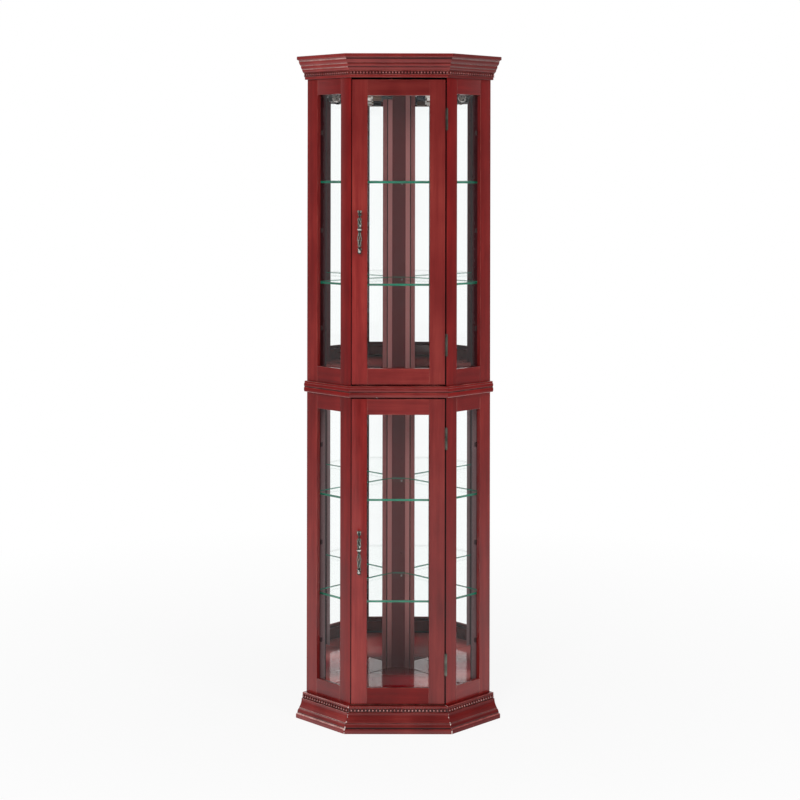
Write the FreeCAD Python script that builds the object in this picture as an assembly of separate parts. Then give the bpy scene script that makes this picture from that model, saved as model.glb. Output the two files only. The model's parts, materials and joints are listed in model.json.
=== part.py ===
"""Corner curio cabinet: two glazed doors, glazed angled sides and mirrored backs.

Millimetres, +Z up, doors facing -Y. The origin is under the middle of the cabinet, on the floor.
The pieces are drawn with the door plane at y = 0 and moved to the origin as they are written.
"""
import FreeCAD, Part
import os
from math import radians, sqrt, tan

Vec = FreeCAD.Vector
ACROSS, BACK, UP = Vec(1, 0, 0), Vec(0, 1, 0), Vec(0, 0, 1)

# ---- driving dimensions: the carcass in plan ------------------------------------------------
front_width = 258.0          # between the two front corners
side_width = 178.0           # each angled side, from front corner to wall
rear_flat_depth = 6.0        # how far the rear corner is cut back
frame_thickness = 19.0
stile_width = 42.0
rail_width = 43.3            # rail showing between a window and its moulding

# ---- driving dimensions: heights -------------------------------------------------------------
total_height = 1829.0
base_height = 66.5
waist_bottom = 900.0
waist_height = 30.0
crown_height = 63.0
top_board_thickness = 16.0
top_board_recess = 2.0       # top board below the crown's upper edge
floor_board_thickness = 15.0
floor_step = 1.0             # floor above the base moulding
middle_board_thickness = 18.0
middle_board_step = 2.0      # middle board above the waist moulding
ceiling_board_thickness = 15.0
ceiling_drop = 14.0          # top rail's lower edge to the ceiling's underside

# ---- panes, mirrors and backs ----------------------------------------------------------------
rebate_width = 9.5           # glass rebate beyond the sight edge
front_lip = 11.0             # wood in front of the glass
pane_thickness = 3.0
rebate_play = 1.0            # pane's edge to the rebate's floor
back_panel_thickness = 4.0
mirror_thickness = 3.0
mirror_side_margin = 64.5    # painted panel showing beside the mirror, wall corner side
mirror_post_margin = 71.5    # the same from the rear corner
back_rebate_land = 8.0       # outer stile left outside the back panel

# ---- rear post -------------------------------------------------------------------------------
post_leg = 53.5              # along each wall from the rear corner
post_face_width = 38.6
post_leg_cover = 4.0         # leg standing in front of the back panel
post_rebate = 12.0           # how far the back panel slips behind the leg

# ---- doors -----------------------------------------------------------------------------------
hinge_gap = 3.5
lock_gap = 2.0
lower_door_gaps = (3.0, 4.6)     # to the base moulding and to the waist moulding
upper_door_gaps = (4.6, 5.5)     # to the waist moulding and to the crown
door_stile_width = 41.9
door_rail_width = 43.3
stop_gap = 0.6               # door back to the boards it closes on

# ---- shelves ---------------------------------------------------------------------------------
shelf_tops = (344.0, 620.0, 1206.0, 1485.0)
shelf_thickness = 6.0
shelf_front = 25.0
shelf_side_gap = 1.8
shelf_back_gap = 1.7
pin_radius = 2.5
pin_length = 16.0
pin_hole_depth = 8.5
pin_hole_step = 66.0         # spare holes above and below each pin
front_pin_place = 26.0       # from the front corner along the side
wall_pin_place = 18.0        # from the wall along the side
rear_pin_offset = 9.0        # beside the middle of the post

# ---- mouldings -------------------------------------------------------------------------------
crown_reach = 40.0
base_reach = 39.2
waist_reach = 11.6
bead_radius = 3.6
bead_strip_height = 10.6
bead_strip_back = 2.2        # flat of the strip behind the beads' centres
crown_bead_seat = 11.5
crown_bead_height = 12.5     # bead centres above the crown's lower edge
base_bead_seat = 13.2
base_bead_height = 56.3      # bead centres above the floor

# ---- hinges, pulls, catches ------------------------------------------------------------------
hinge_height = 58.0
hinge_inset = 107.0          # hinge middle from the door's end
leaf_thickness = 1.2
leaf_depth = 17.0
leaf_screw_length = 8.0
leaf_screw_place = 10.2      # behind the door plane
leaf_head_height = 0.4
knuckle_radius = 3.0
knuckle_gap = 0.4
hinge_axis_out = 3.3         # axis in front of the door plane
hinge_axis_side = 0.5        # axis beyond the front corner
hinge_pin_radius = 1.2
hinge_tip_radius = 2.4
hinge_tip_height = 1.0
pin_play = 0.05
pull_length = 122.0
pull_stand_off = 18.0
pull_boss_radius = 6.0
pull_bar_radius = 2.6
pull_body_radius = 5.0
pull_foot_radius = 3.6
pull_rose_thickness = 2.0
pull_collar_height = 4.0
pull_collar_rise = 4.0       # collar above the pull's middle
pull_swelling = 22.0         # length of each half of a swelling
pull_screw_reach = 8.0       # thread inside the pull's foot
catch_inset = 56.0           # catch middle from the door's free edge
catch_width = 22.0
catch_depth = 26.0
catch_height = 14.0
catch_screw_back = 18.0      # behind the catch's front
strike_width = 20.0
strike_height = 12.0
strike_thickness = 1.0

# ---- clips and screws ------------------------------------------------------------------------
clip_spacing = 271.0
clip_length = 12.0
clip_tab = 14.0              # tab beyond the rebate
clip_thickness = 2.5
screw_shank_radius = 1.3
screw_head_radius = 2.6
screw_head_height = 1.2
screw_length = 12.0
screw_grip = 8.0             # thread in the wood behind a clip or a catch
screw_clearance = 0.1

# ---- lamp ------------------------------------------------------------------------------------
lamp_box_length = 100.0
lamp_box_depth = 46.0
lamp_box_height = 20.0
lamp_place = 190.0           # behind the door plane
holder_radius = 12.0
holder_length = 24.0
bulb_radius = 11.0
bulb_length = 44.0
foil_thickness = 0.8
foil_front = 58.0
foil_flange = 15.0
foil_margin = 5.0
bush_radius = 8.0
bush_flange = 2.0
bush_bore = 3.5
bush_place = 180.0           # along the right wall from the rear corner

# ---- joints in wood --------------------------------------------------------------------------
tenon_length = 14.0
tenon_front = 3.0            # tenon behind the face
tenon_thickness = 6.0
tenon_shoulder = 8.0
fit_gap = 0.3                # between pieces that seat on each other
tenon_gap = 0.1
seat_gap = 0.1               # behind what is fixed to a face

# ---- worked out from the above ---------------------------------------------------------------
diagonal = 1 / sqrt(2)
half_front = front_width / 2
wall_reach = half_front + side_width * sqrt(2)        # x + y on the outer wall plane
wall_length = wall_reach * sqrt(2) - side_width       # rear corner to outer end of each wall
rear_depth = wall_reach - rear_flat_depth
moulding_reach = max(crown_reach, base_reach)
door_plane_y = -(rear_depth - moulding_reach) / 2     # places the origin under the middle
mitre = tan(radians(22.5))

waist_top = waist_bottom + waist_height
crown_bottom = total_height - crown_height
frame_top = total_height - top_board_thickness - top_board_recess
floor_top = base_height + floor_step
middle_top = waist_top + middle_board_step
middle_bottom = middle_top - middle_board_thickness
ceiling_bottom = crown_bottom - rail_width + ceiling_drop
ceiling_top = ceiling_bottom + ceiling_board_thickness
windows = ((base_height + rail_width, waist_bottom - rail_width),
           (waist_top + rail_width, crown_bottom - rail_width))

panel_inset = back_panel_thickness + fit_gap
mirror_inset = panel_inset + mirror_thickness
leg_inset = panel_inset + post_leg_cover
post_face = wall_reach - leg_inset * sqrt(2) - post_face_width / 2
pane_front = front_lip + fit_gap
pane_back = pane_front + pane_thickness

clip_outer = frame_thickness + fit_gap + clip_thickness
clip_screw_length = clip_thickness + screw_head_height + screw_grip

door_left = -half_front + lock_gap
door_right = half_front - hinge_gap
lower_door_span = (base_height + lower_door_gaps[0], waist_bottom - lower_door_gaps[1])
upper_door_span = (waist_top + upper_door_gaps[0], crown_bottom - upper_door_gaps[1])
door_spans = (lower_door_span, upper_door_span)
catch_place = door_left + catch_inset
hinge_x = half_front + hinge_axis_side
hinge_y = -hinge_axis_out


# ---- placing helpers -------------------------------------------------------------------------
def side_point(u, w, z):
    """A point of the right side: u back along it from the front corner, w inwards from its face."""
    return Vec(half_front + (u - w) * diagonal, (u + w) * diagonal, z)


def wall_point(v, t, z):
    """A point of the right wall: v along it from the rear corner, t inwards from its outer plane."""
    return Vec((v - t) * diagonal, wall_reach - (v + t) * diagonal, z)


def plan_point(x, y, z):
    return Vec(x, y, z)


def prism(place, outline, z0, z1):
    """A solid with the given outline, in the plan coordinates of place, from z0 to z1."""
    corners = [place(a, b, z0) for a, b in outline]
    face = Part.Face(Part.makePolygon(corners + corners[:1]))
    return face.extrude(UP * (z1 - z0))


def block(place, a0, a1, b0, b1, z0, z1):
    return prism(place, [(a0, b0), (a1, b0), (a1, b1), (a0, b1)], z0, z1)


def both_halves(right_points):
    """Close a symmetric plan outline from the points of its right half, front to rear."""
    return right_points + [(-x, y) for x, y in reversed(right_points)]


def mirrored(shape):
    return shape.mirror(Vec(0, 0, 0), ACROSS)


def rod(radius, start, direction, length):
    return Part.makeCylinder(radius, length, start, direction)


def joined(shapes):
    return shapes[0].fuse(shapes[1:]).removeSplitter()


def side_direction(sign=1):
    """Inwards, square to the right side's face."""
    return (side_point(0, sign, 0) - side_point(0, 0, 0)).normalize()


def screw(head_top, direction, length=screw_length):
    """A pan-headed screw whose head's outer face is at head_top, driven along direction."""
    head = rod(screw_head_radius, head_top, direction, screw_head_height)
    shank = rod(screw_shank_radius, head_top, direction, length)
    return head.fuse(shank)


def screw_hole(head_top, direction, length=screw_length):
    deep = length + fit_gap
    return rod(screw_shank_radius + screw_clearance, head_top, direction, deep)


written = []


def save(name, *solids):
    """Write one node: each piece as its own solid, moved so that the origin is under the middle."""
    moved = []
    for solid in solids:
        for piece in solid.Solids:
            copy = piece.copy()
            copy.translate(BACK * door_plane_y)
            moved.append(copy)
    shape = moved[0] if len(moved) == 1 else Part.makeCompound(moved)
    shape.exportStep(os.path.join("parts", name + ".step"))
    written.append(name)


# ---- side frames -----------------------------------------------------------------------------
def window_rebate(u0, u1, window):
    """The space cut from the inside of a frame round one window."""
    low, high = window[0] - rebate_width, window[1] + rebate_width
    return block(side_point, u0, u1, front_lip, frame_thickness + 1, low, high)


def rail_heights():
    lower, upper = windows
    return ((0.0, lower[0]), (lower[1], upper[0]), (upper[1], frame_top))


def tenon(u0, u1, heights, gap=0.0):
    z0 = heights[0] + tenon_shoulder - gap
    z1 = heights[1] - tenon_shoulder + gap
    w0 = tenon_front - gap
    w1 = tenon_front + tenon_thickness + gap
    return block(side_point, u0, u1, w0, w1, z0, z1)


def side_pin_starts():
    """Bottoms of the shelf pin holes in the right side, front and wall, at each height."""
    inner = frame_thickness - pin_hole_depth
    places = (front_pin_place, side_width - wall_pin_place)
    return [(u, inner) for u in places]


def pin_height(shelf_top):
    return shelf_top - shelf_thickness - pin_radius - tenon_gap


def pin_holes(u):
    holes = []
    for top in shelf_tops:
        for step in (-pin_hole_step, 0.0, pin_hole_step):
            start = side_point(u, frame_thickness - pin_hole_depth, pin_height(top) + step)
            hole = rod(pin_radius + tenon_gap, start, side_direction(), pin_hole_depth + 1)
            holes.append(hole)
    return holes


def side_inner_stile():
    outline = [(0, 0), (stile_width, 0), (stile_width, frame_thickness),
               (frame_thickness, frame_thickness)]
    stile = prism(side_point, outline, 0.0, frame_top)
    u0 = stile_width - rebate_width
    cuts = [window_rebate(u0, stile_width + 1, window) for window in windows]
    u0 = stile_width - tenon_length - fit_gap
    cuts += [tenon(u0, stile_width + 1, heights, tenon_gap) for heights in rail_heights()]
    return stile.cut(cuts + pin_holes(front_pin_place))


def side_outer_stile():
    inner_edge = side_width - stile_width
    rebate_floor = side_width - panel_inset
    outline = [(inner_edge, 0), (side_width, 0), (side_width, back_rebate_land),
               (rebate_floor, back_rebate_land), (rebate_floor, frame_thickness),
               (inner_edge, frame_thickness)]
    stile = prism(side_point, outline, 0.0, frame_top)
    u1 = inner_edge + rebate_width
    cuts = [window_rebate(inner_edge - 1, u1, window) for window in windows]
    u1 = inner_edge + tenon_length + fit_gap
    cuts += [tenon(inner_edge - 1, u1, heights, tenon_gap) for heights in rail_heights()]
    return stile.cut(cuts + pin_holes(side_width - wall_pin_place))


def side_rails():
    u0, u1 = stile_width, side_width - stile_width
    rails = []
    for heights in rail_heights():
        rail = block(side_point, u0, u1, 0, frame_thickness, *heights)
        rail = rail.fuse(tenon(u0 - tenon_length, u1 + tenon_length, heights))
        rail = rail.cut([window_rebate(u0, u1, window) for window in windows])
        rails.append(rail.removeSplitter())
    return rails


def side_pane(window):
    play = rebate_width - rebate_play
    u0, u1 = stile_width - play, side_width - stile_width + play
    return block(side_point, u0, u1, pane_front, pane_back, window[0] - play, window[1] + play)


def clip_heights(window):
    middle = (window[0] + window[1]) / 2
    return (middle - clip_spacing, middle, middle + clip_spacing)


def pane_clip(place, edge, side, face, z):
    """A clip screwed beside the rebate, its foot on the glass: edge is the sight edge's place,
    side is +1 where the wood lies towards larger values."""
    z0, z1 = z - clip_length / 2, z + clip_length / 2
    tip, floor = edge + side * rebate_play, edge + side * rebate_width
    tail = floor + side * clip_tab
    outer = face + fit_gap + clip_thickness
    foot_start, foot_end = sorted((tip, floor - side * fit_gap))
    tab_start, tab_end = sorted((tip, tail))
    foot = block(place, foot_start, foot_end, pane_back + fit_gap, outer, z0, z1)
    tab = block(place, tab_start, tab_end, face + fit_gap, outer, z0, z1)
    return foot.fuse(tab).removeSplitter()


def clip_screw_place(edge, side):
    return edge + side * (rebate_width + clip_tab / 2)


def side_clip_sets():
    """Each side clip's sight edge, wood side and height."""
    edges = ((stile_width, -1), (side_width - stile_width, 1))
    return [(edge, side, z) for window in windows for edge, side in edges
            for z in clip_heights(window)]


def side_clip_screw(edge, side, z, hole=False):
    head_top = side_point(clip_screw_place(edge, side), clip_outer + screw_head_height, z)
    make = screw_hole if hole else screw
    return make(head_top, side_direction(-1), clip_screw_length)


def build_sides():
    inner, outer, rails = side_inner_stile(), side_outer_stile(), side_rails()
    clips, screws, holes = [], [], []
    for edge, side, z in side_clip_sets():
        clips.append(pane_clip(side_point, edge, side, frame_thickness, z))
        screws.append(side_clip_screw(edge, side, z))
        holes.append(side_clip_screw(edge, side, z, hole=True))
    clips = [clip.cut(holes) for clip in clips]
    inner = inner.cut(holes + hinge_stile_holes())
    outer = outer.cut(holes)
    left_inner = mirrored(side_inner_stile().cut(holes))
    save("right_inner_stile", inner)
    save("left_inner_stile", left_inner)
    save("right_outer_stile", outer)
    save("left_outer_stile", mirrored(outer))
    save("right_side_rails", *rails)
    save("left_side_rails", *[mirrored(rail) for rail in rails])
    for window, level in zip(windows, ("lower", "upper")):
        save(level + "_right_pane", side_pane(window))
        save(level + "_left_pane", mirrored(side_pane(window)))
    save("side_pane_clips", *clips, *[mirrored(clip) for clip in clips])
    return screws + [mirrored(each) for each in screws]


# ---- front rails and boards ------------------------------------------------------------------
def build_front_rails():
    reach = half_front - fit_gap
    floor_bottom = floor_top - floor_board_thickness
    heights = ((0.0, floor_bottom - fit_gap), (waist_bottom, waist_top), (crown_bottom, frame_top))
    rails = [block(plan_point, -reach, reach, 0.0, frame_thickness, *each) for each in heights]
    save("front_rails", *rails)


def board_outline(front_points):
    """Plan of a board between the side frames, back panels and rear post."""
    side_line = half_front - (frame_thickness + fit_gap) * sqrt(2)       # x - y on the side
    back_line = wall_reach - (panel_inset + fit_gap) * sqrt(2)           # x + y on the back
    corner = ((back_line + side_line) / 2, (back_line - side_line) / 2)
    leg_end = post_leg + fit_gap
    step_out = wall_point(leg_end, panel_inset + fit_gap, 0)
    step_in = wall_point(leg_end, leg_inset + fit_gap, 0)
    face_y = post_face - fit_gap
    face_x = wall_reach - (leg_inset + fit_gap) * sqrt(2) - face_y
    right = front_points(side_line) + [corner, (step_out.x, step_out.y), (step_in.x, step_in.y),
                                       (face_x, face_y)]
    return both_halves(right)


def board_behind(front):
    return board_outline(lambda side_line: [(side_line + front, front)])


def floor_outline():
    edge = half_front - fit_gap
    return board_outline(lambda side_line: [(edge, fit_gap), (edge, edge - side_line)])


def top_outline():
    side_line = half_front - fit_gap * sqrt(2)
    back_line = wall_reach - fit_gap * sqrt(2)
    corner = ((back_line + side_line) / 2, (back_line - side_line) / 2)
    rear = rear_depth - fit_gap
    return both_halves([(side_line + fit_gap, fit_gap), corner, (back_line - rear, rear)])


def build_boards():
    floor = prism(plan_point, floor_outline(), floor_top - floor_board_thickness, floor_top)
    behind_rail = frame_thickness + fit_gap
    middle = prism(plan_point, board_behind(behind_rail), middle_bottom, middle_top)
    behind_door = frame_thickness + stop_gap
    ceiling = prism(plan_point, board_behind(behind_door), ceiling_bottom, ceiling_top)
    lead_hole = rod(bush_bore, Vec(0, lamp_place, ceiling_bottom - 1), UP, ceiling_board_thickness + 2)
    top = prism(plan_point, top_outline(), frame_top + fit_gap, total_height - top_board_recess)
    save("bottom_board", floor)
    lower_catch_hole, upper_catch_hole = catch_screw_holes()
    save("middle_board", middle.cut(lower_catch_hole))
    save("ceiling_board", ceiling.cut([lead_hole, upper_catch_hole]))
    save("top_board", top)


# ---- rear post, back panels and mirrors ------------------------------------------------------
def rear_pin_start(z):
    return Vec(rear_pin_offset, post_face + pin_hole_depth, z)


def rear_post():
    rear_x = wall_reach - rear_depth
    panel_end = post_leg - post_rebate
    places = [(panel_end, 0.0), (panel_end, panel_inset), (post_leg, panel_inset),
              (post_leg, leg_inset)]
    leg = [wall_point(v, t, 0) for v, t in places]
    right = [(rear_x, rear_depth)] + [(p.x, p.y) for p in leg]
    right += [(post_face_width / 2, post_face)]
    post = prism(plan_point, both_halves(right), 0.0, frame_top)
    holes = []
    for top in shelf_tops:
        for step in (-pin_hole_step, 0.0, pin_hole_step):
            start = rear_pin_start(pin_height(top) + step)
            holes.append(rod(pin_radius + tenon_gap, start, -BACK, pin_hole_depth + 1))
    return post.cut(holes)


def back_panel():
    v0 = post_leg - post_rebate + fit_gap
    v1 = wall_length - back_rebate_land - fit_gap
    panel_bottom = floor_top - floor_board_thickness
    return block(wall_point, v0, v1, 0.0, back_panel_thickness, panel_bottom, frame_top)


def bush_height():
    return (ceiling_top + frame_top) / 2


def bush_axis():
    return (wall_point(0, 1, 0) - wall_point(0, 0, 0)).normalize()


def lead_bush():
    """A flanged bush in the right back panel, where the lamp's lead leaves."""
    z = bush_height()
    neck = rod(bush_radius - bush_flange - fit_gap, wall_point(bush_place, 0, z), bush_axis(),
               back_panel_thickness + fit_gap)
    flange = rod(bush_radius, wall_point(bush_place, back_panel_thickness + fit_gap, z),
                 bush_axis(), bush_flange)
    bore = rod(bush_bore, wall_point(bush_place, -1, z), bush_axis(),
               back_panel_thickness + bush_flange + 2)
    return neck.fuse(flange).removeSplitter().cut(bore)


def back_mirror(z0, z1):
    v0, v1 = mirror_post_margin, wall_length - mirror_side_margin
    return block(wall_point, v0, v1, back_panel_thickness + fit_gap, mirror_inset, z0, z1)


def build_back():
    save("rear_corner_post", rear_post())
    hole = rod(bush_radius - bush_flange, wall_point(bush_place, -1, bush_height()), bush_axis(),
               back_panel_thickness + 2)
    save("right_back_panel", back_panel().cut(hole))
    save("left_back_panel", mirrored(back_panel()))
    save("lead_bush", lead_bush())
    spans = ((floor_top, middle_bottom), (middle_top, ceiling_bottom))
    for level, (low, high) in zip(("lower", "upper"), spans):
        pane = back_mirror(low + fit_gap, high - fit_gap)
        save(level + "_right_mirror", pane)
        save(level + "_left_mirror", mirrored(pane))


# ---- shelves ---------------------------------------------------------------------------------
def shelf_outline():
    side_line = half_front - (frame_thickness + shelf_side_gap) * sqrt(2)
    back_line = wall_reach - (mirror_inset + shelf_back_gap) * sqrt(2)
    corner = ((back_line + side_line) / 2, (back_line - side_line) / 2)
    rear = post_face - shelf_side_gap
    return both_halves([(side_line + shelf_front, shelf_front), corner, (back_line - rear, rear)])


def build_shelves():
    pins = []
    for number, top in enumerate(shelf_tops, start=1):
        save(f"shelf_{number}", prism(plan_point, shelf_outline(), top - shelf_thickness, top))
        z = pin_height(top)
        pins.append(rod(pin_radius, rear_pin_start(z) - BACK * tenon_gap, -BACK, pin_length))
        for u, inner in side_pin_starts():
            start = side_point(u, inner + tenon_gap, z)
            pin = rod(pin_radius, start, side_direction(), pin_length)
            pins += [pin, mirrored(pin)]
    save("shelf_pins", *pins)


# ---- mouldings -------------------------------------------------------------------------------
def profile_face(steps, place):
    """A closed profile from steps of (out, up), or of two pairs where a round runs through the
    first to the second."""
    edges, here = [], steps[0]
    for step in steps[1:] + steps[:1]:
        if isinstance(step[0], tuple):
            through, end = step
            edges.append(Part.Arc(place(*here), place(*through), place(*end)).toShape())
        else:
            end = step
            edges.append(Part.LineSegment(place(*here), place(*end)).toShape())
        here = end
    return Part.Face(Part.Wire(edges))


def wall_end(out):
    """Plan point where a line this far out from the right side meets the wall."""
    point = side_point(side_width, -out, 0)
    return (point.x, point.y)


def mitred_lengths(steps, z0, reach):
    """The front, right and left lengths of a moulding, cut at the mitres and at the walls."""
    spare = 2 * reach
    corner_in, corner_out = (half_front, 0.0), (half_front + reach * mitre, -reach)
    z1 = z0 + max(step[-1][1] if isinstance(step[0], tuple) else step[1] for step in steps)
    bar = profile_face(steps, lambda out, up: Vec(-half_front - spare, -out, z0 + up))
    bar = bar.extrude(ACROSS * (front_width + 2 * spare))
    front_room = [corner_in, corner_out, (-corner_out[0], -reach), (-half_front, 0.0)]
    front = bar.common(prism(plan_point, front_room, z0, z1))
    bar = profile_face(steps, lambda out, up: side_point(-spare, -out, z0 + up))
    along = (side_point(1, 0, 0) - side_point(0, 0, 0)) * (side_width + 2 * spare)
    side_room = [corner_in, corner_out, wall_end(reach), wall_end(0.0)]
    right = bar.extrude(along).common(prism(plan_point, side_room, z0, z1))
    return front, right, mirrored(right)


crown_profile = [
    (seat_gap, 0.0), (10.0, 0.0), (10.0, 7.0), (crown_bead_seat, 7.0), (crown_bead_seat, 18.0),
    (14.5, 18.0), (14.5, 19.0), (15.5, 19.0), ((19.4, 23.4), (20.8, 28.6)), (22.2, 28.6),
    ((24.3, 32.4), (25.0, 38.2)), (26.5, 38.2), ((30.8, 43.6), (32.6, 50.6)), (39.0, 53.6),
    (crown_reach, 53.6), (crown_reach, crown_height), (seat_gap, crown_height)]
base_profile = [
    (seat_gap, 0.0), (base_reach, 0.0), (base_reach, 10.5), ((38.3, 12.4), (36.5, 13.2)),
    (33.8, 14.0), ((32.4, 20.0), (28.6, 24.6)), (27.4, 24.6), (27.4, 26.6),
    ((21.4, 35.4), (18.0, 47.0)), (18.0, 50.8), (base_bead_seat, 50.8), (base_bead_seat, 61.8),
    (14.2, 61.8), (14.2, base_height), (seat_gap, base_height)]
waist_profile = [
    (seat_gap, 0.0), (10.2, 0.0), (10.2, 1.2), ((waist_reach, 7.2), (10.8, 12.9)), (9.8, 12.9),
    (9.8, 15.0), (10.4, 15.0), ((11.4, 19.8), (10.2, 24.6)), (9.2, 24.6),
    (9.2, waist_height), (seat_gap, waist_height)]


def bead_profile(seat):
    """Flat strip with a half-round front, its middle at height zero."""
    back, middle = seat + seat_gap, seat + bead_strip_back
    half, land = bead_strip_height / 2, 1.0
    return [(back, -half), (middle - land, -half), (middle - land, -bead_radius),
            (middle, -bead_radius), ((middle + bead_radius, 0.0), (middle, bead_radius)),
            (middle - land, bead_radius), (middle - land, half), (back, half)]


def bead_lengths(seat, height):
    half = bead_strip_height / 2
    steps = []
    for step in bead_profile(seat):
        if isinstance(step[0], tuple):
            steps.append(tuple((out, up + half) for out, up in step))
        else:
            steps.append((step[0], step[1] + half))
    return mitred_lengths(steps, height - half, seat + bead_strip_back + bead_radius + 1)


def build_mouldings():
    save("crown_moulding", *mitred_lengths(crown_profile, crown_bottom, crown_reach))
    save("waist_moulding", *mitred_lengths(waist_profile, waist_bottom, waist_reach))
    save("base_moulding", *mitred_lengths(base_profile, 0.0, base_reach))
    save("crown_bead_strip", *bead_lengths(crown_bead_seat, crown_bottom + crown_bead_height))
    save("base_bead_strip", *bead_lengths(base_bead_seat, base_bead_height))


# ---- hinges ----------------------------------------------------------------------------------
def hinge_heights(span):
    return (span[0] + hinge_inset, span[1] - hinge_inset)


def knuckle(z0, z1):
    return rod(knuckle_radius, Vec(hinge_x, hinge_y, z0), UP, z1 - z0)


def leaf_screw_heights(z):
    return (z - hinge_height / 4, z + hinge_height / 4)


def hinge_bore(z):
    return rod(hinge_pin_radius + pin_play, Vec(hinge_x, hinge_y, z - hinge_height), UP,
               2 * hinge_height)


def frame_leaf(z):
    """Leaf on the stile's edge, with the two outer knuckles."""
    half, third = hinge_height / 2, hinge_height / 6
    x1 = half_front
    leaf = block(plan_point, x1 - leaf_thickness, x1, 0.0, leaf_depth, z - half, z + half)
    pieces = [leaf]
    for z0, z1 in ((z - half, z - third), (z + third, z + half)):
        web = block(plan_point, x1 - leaf_thickness, x1, hinge_y, 1.0, z0, z1)
        pieces += [web, knuckle(z0, z1)]
    holes = [leaf_screw(x1 - leaf_thickness, 1, height, hole=True) for height in leaf_screw_heights(z)]
    return joined(pieces).cut([hinge_bore(z)] + holes)


def door_leaf(z):
    """Leaf on the door's edge, with the middle knuckle."""
    half, third = hinge_height / 2, hinge_height / 6 - knuckle_gap
    x0 = door_right
    leaf = block(plan_point, x0, x0 + leaf_thickness, 0.0, leaf_depth, z - half, z + half)
    web = block(plan_point, x0, x0 + leaf_thickness, hinge_y, 1.0, z - third, z + third)
    bridge_y = hinge_y + leaf_thickness / 2
    bridge = block(plan_point, x0, hinge_x, bridge_y - leaf_thickness, bridge_y, z - third, z + third)
    pieces = [leaf, web, bridge, knuckle(z - third, z + third)]
    holes = [leaf_screw(x0 + leaf_thickness, -1, height, hole=True) for height in leaf_screw_heights(z)]
    return joined(pieces).cut([hinge_bore(z)] + holes)


def leaf_screw(face_x, direction, z, hole=False):
    """A flat-headed screw through a leaf's face: direction +1 drives it into the stile."""
    start = Vec(face_x - direction * leaf_head_height, leaf_screw_place, z)
    along = ACROSS * direction
    if hole:
        return rod(screw_shank_radius + screw_clearance, start, along, leaf_screw_length + fit_gap)
    head = rod(screw_head_radius, start, along, leaf_head_height - tenon_gap / 2)
    return head.fuse(rod(screw_shank_radius, start, along, leaf_screw_length))


def all_hinge_heights():
    return [z for span in door_spans for z in hinge_heights(span)]


def hinge_stile_holes():
    face_x = half_front - leaf_thickness
    return [leaf_screw(face_x, 1, height, hole=True)
            for z in all_hinge_heights() for height in leaf_screw_heights(z)]


def build_hinges():
    save("hinge_frame_leaves", *[frame_leaf(z) for z in all_hinge_heights()])
    pins = []
    for z in all_hinge_heights():
        half = hinge_height / 2
        start, length = z - half - seat_gap, hinge_height + 2 * seat_gap
        pin = rod(hinge_pin_radius, Vec(hinge_x, hinge_y, start), UP, length)
        for end, way in ((start, -1), (start + length, 1)):
            tip = rod(hinge_tip_radius, Vec(hinge_x, hinge_y, end), UP * way, hinge_tip_height)
            pin = pin.fuse(tip)
        pins.append(pin.removeSplitter())
    save("hinge_pins", *pins)
    face_x = half_front - leaf_thickness
    return [leaf_screw(face_x, 1, height)
            for z in all_hinge_heights() for height in leaf_screw_heights(z)]


# ---- catches ---------------------------------------------------------------------------------
def catch_bodies():
    """One catch under the middle board, reaching down behind the lower door, and one under the
    ceiling: front face, lowest and highest point of each."""
    front = frame_thickness + strike_thickness + fit_gap
    return ((front, lower_door_span[1] - catch_height, middle_bottom - fit_gap),
            (front, ceiling_bottom - catch_height, ceiling_bottom - fit_gap))


def catch_screw_places():
    return [Vec(catch_place, front + catch_screw_back, z0) for front, z0, z1 in catch_bodies()]


def catch_screw_holes():
    holes = []
    for (front, z0, z1), place in zip(catch_bodies(), catch_screw_places()):
        reach = z1 - z0 + screw_grip + 2.0
        holes.append(rod(screw_shank_radius + screw_clearance, place - UP, UP, reach))
    return holes


def build_catches():
    half = catch_width / 2
    bodies, screws = [], []
    for (front, z0, z1), place, hole in zip(catch_bodies(), catch_screw_places(), catch_screw_holes()):
        x0, x1 = catch_place - half, catch_place + half
        body = block(plan_point, x0, x1, front, front + catch_depth, z0, z1)
        bodies.append(body.cut(hole))
        head_top = place - UP * (screw_head_height + tenon_gap)
        screws.append(screw(head_top, UP, z1 - z0 + screw_head_height + screw_grip))
    save("door_catches", *bodies)
    return screws


# ---- lamp ------------------------------------------------------------------------------------
def build_lamp():
    foil_bottom = ceiling_bottom - tenon_gap - foil_thickness
    box_top = foil_bottom - tenon_gap
    half, deep = lamp_box_length / 2, lamp_box_depth / 2
    box = block(plan_point, -half, half, lamp_place - deep, lamp_place + deep,
                box_top - lamp_box_height, box_top)
    axis_z = box_top - holder_radius - 1.0
    holders, bulbs = [], []
    for way in (-1, 1):
        start = Vec(way * (half + tenon_gap), lamp_place, axis_z)
        holders.append(rod(holder_radius, start, ACROSS * way, holder_length))
        start = start + ACROSS * way * (holder_length + tenon_gap)
        neck = rod(bulb_radius * 0.6, start, ACROSS * way, 6.0)
        glass = rod(bulb_radius, start + ACROSS * way * 5.0, ACROSS * way,
                    bulb_length - bulb_radius)
        dome = Part.makeSphere(bulb_radius, start + ACROSS * way * (bulb_length - bulb_radius + 5.0))
        bulbs.append(joined([neck, glass, dome]))
    save("lamp_box", box)
    save("lamp_holders", *holders)
    save("lamp_bulbs", *bulbs)
    save("heat_shield", heat_shield(foil_bottom))


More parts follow.
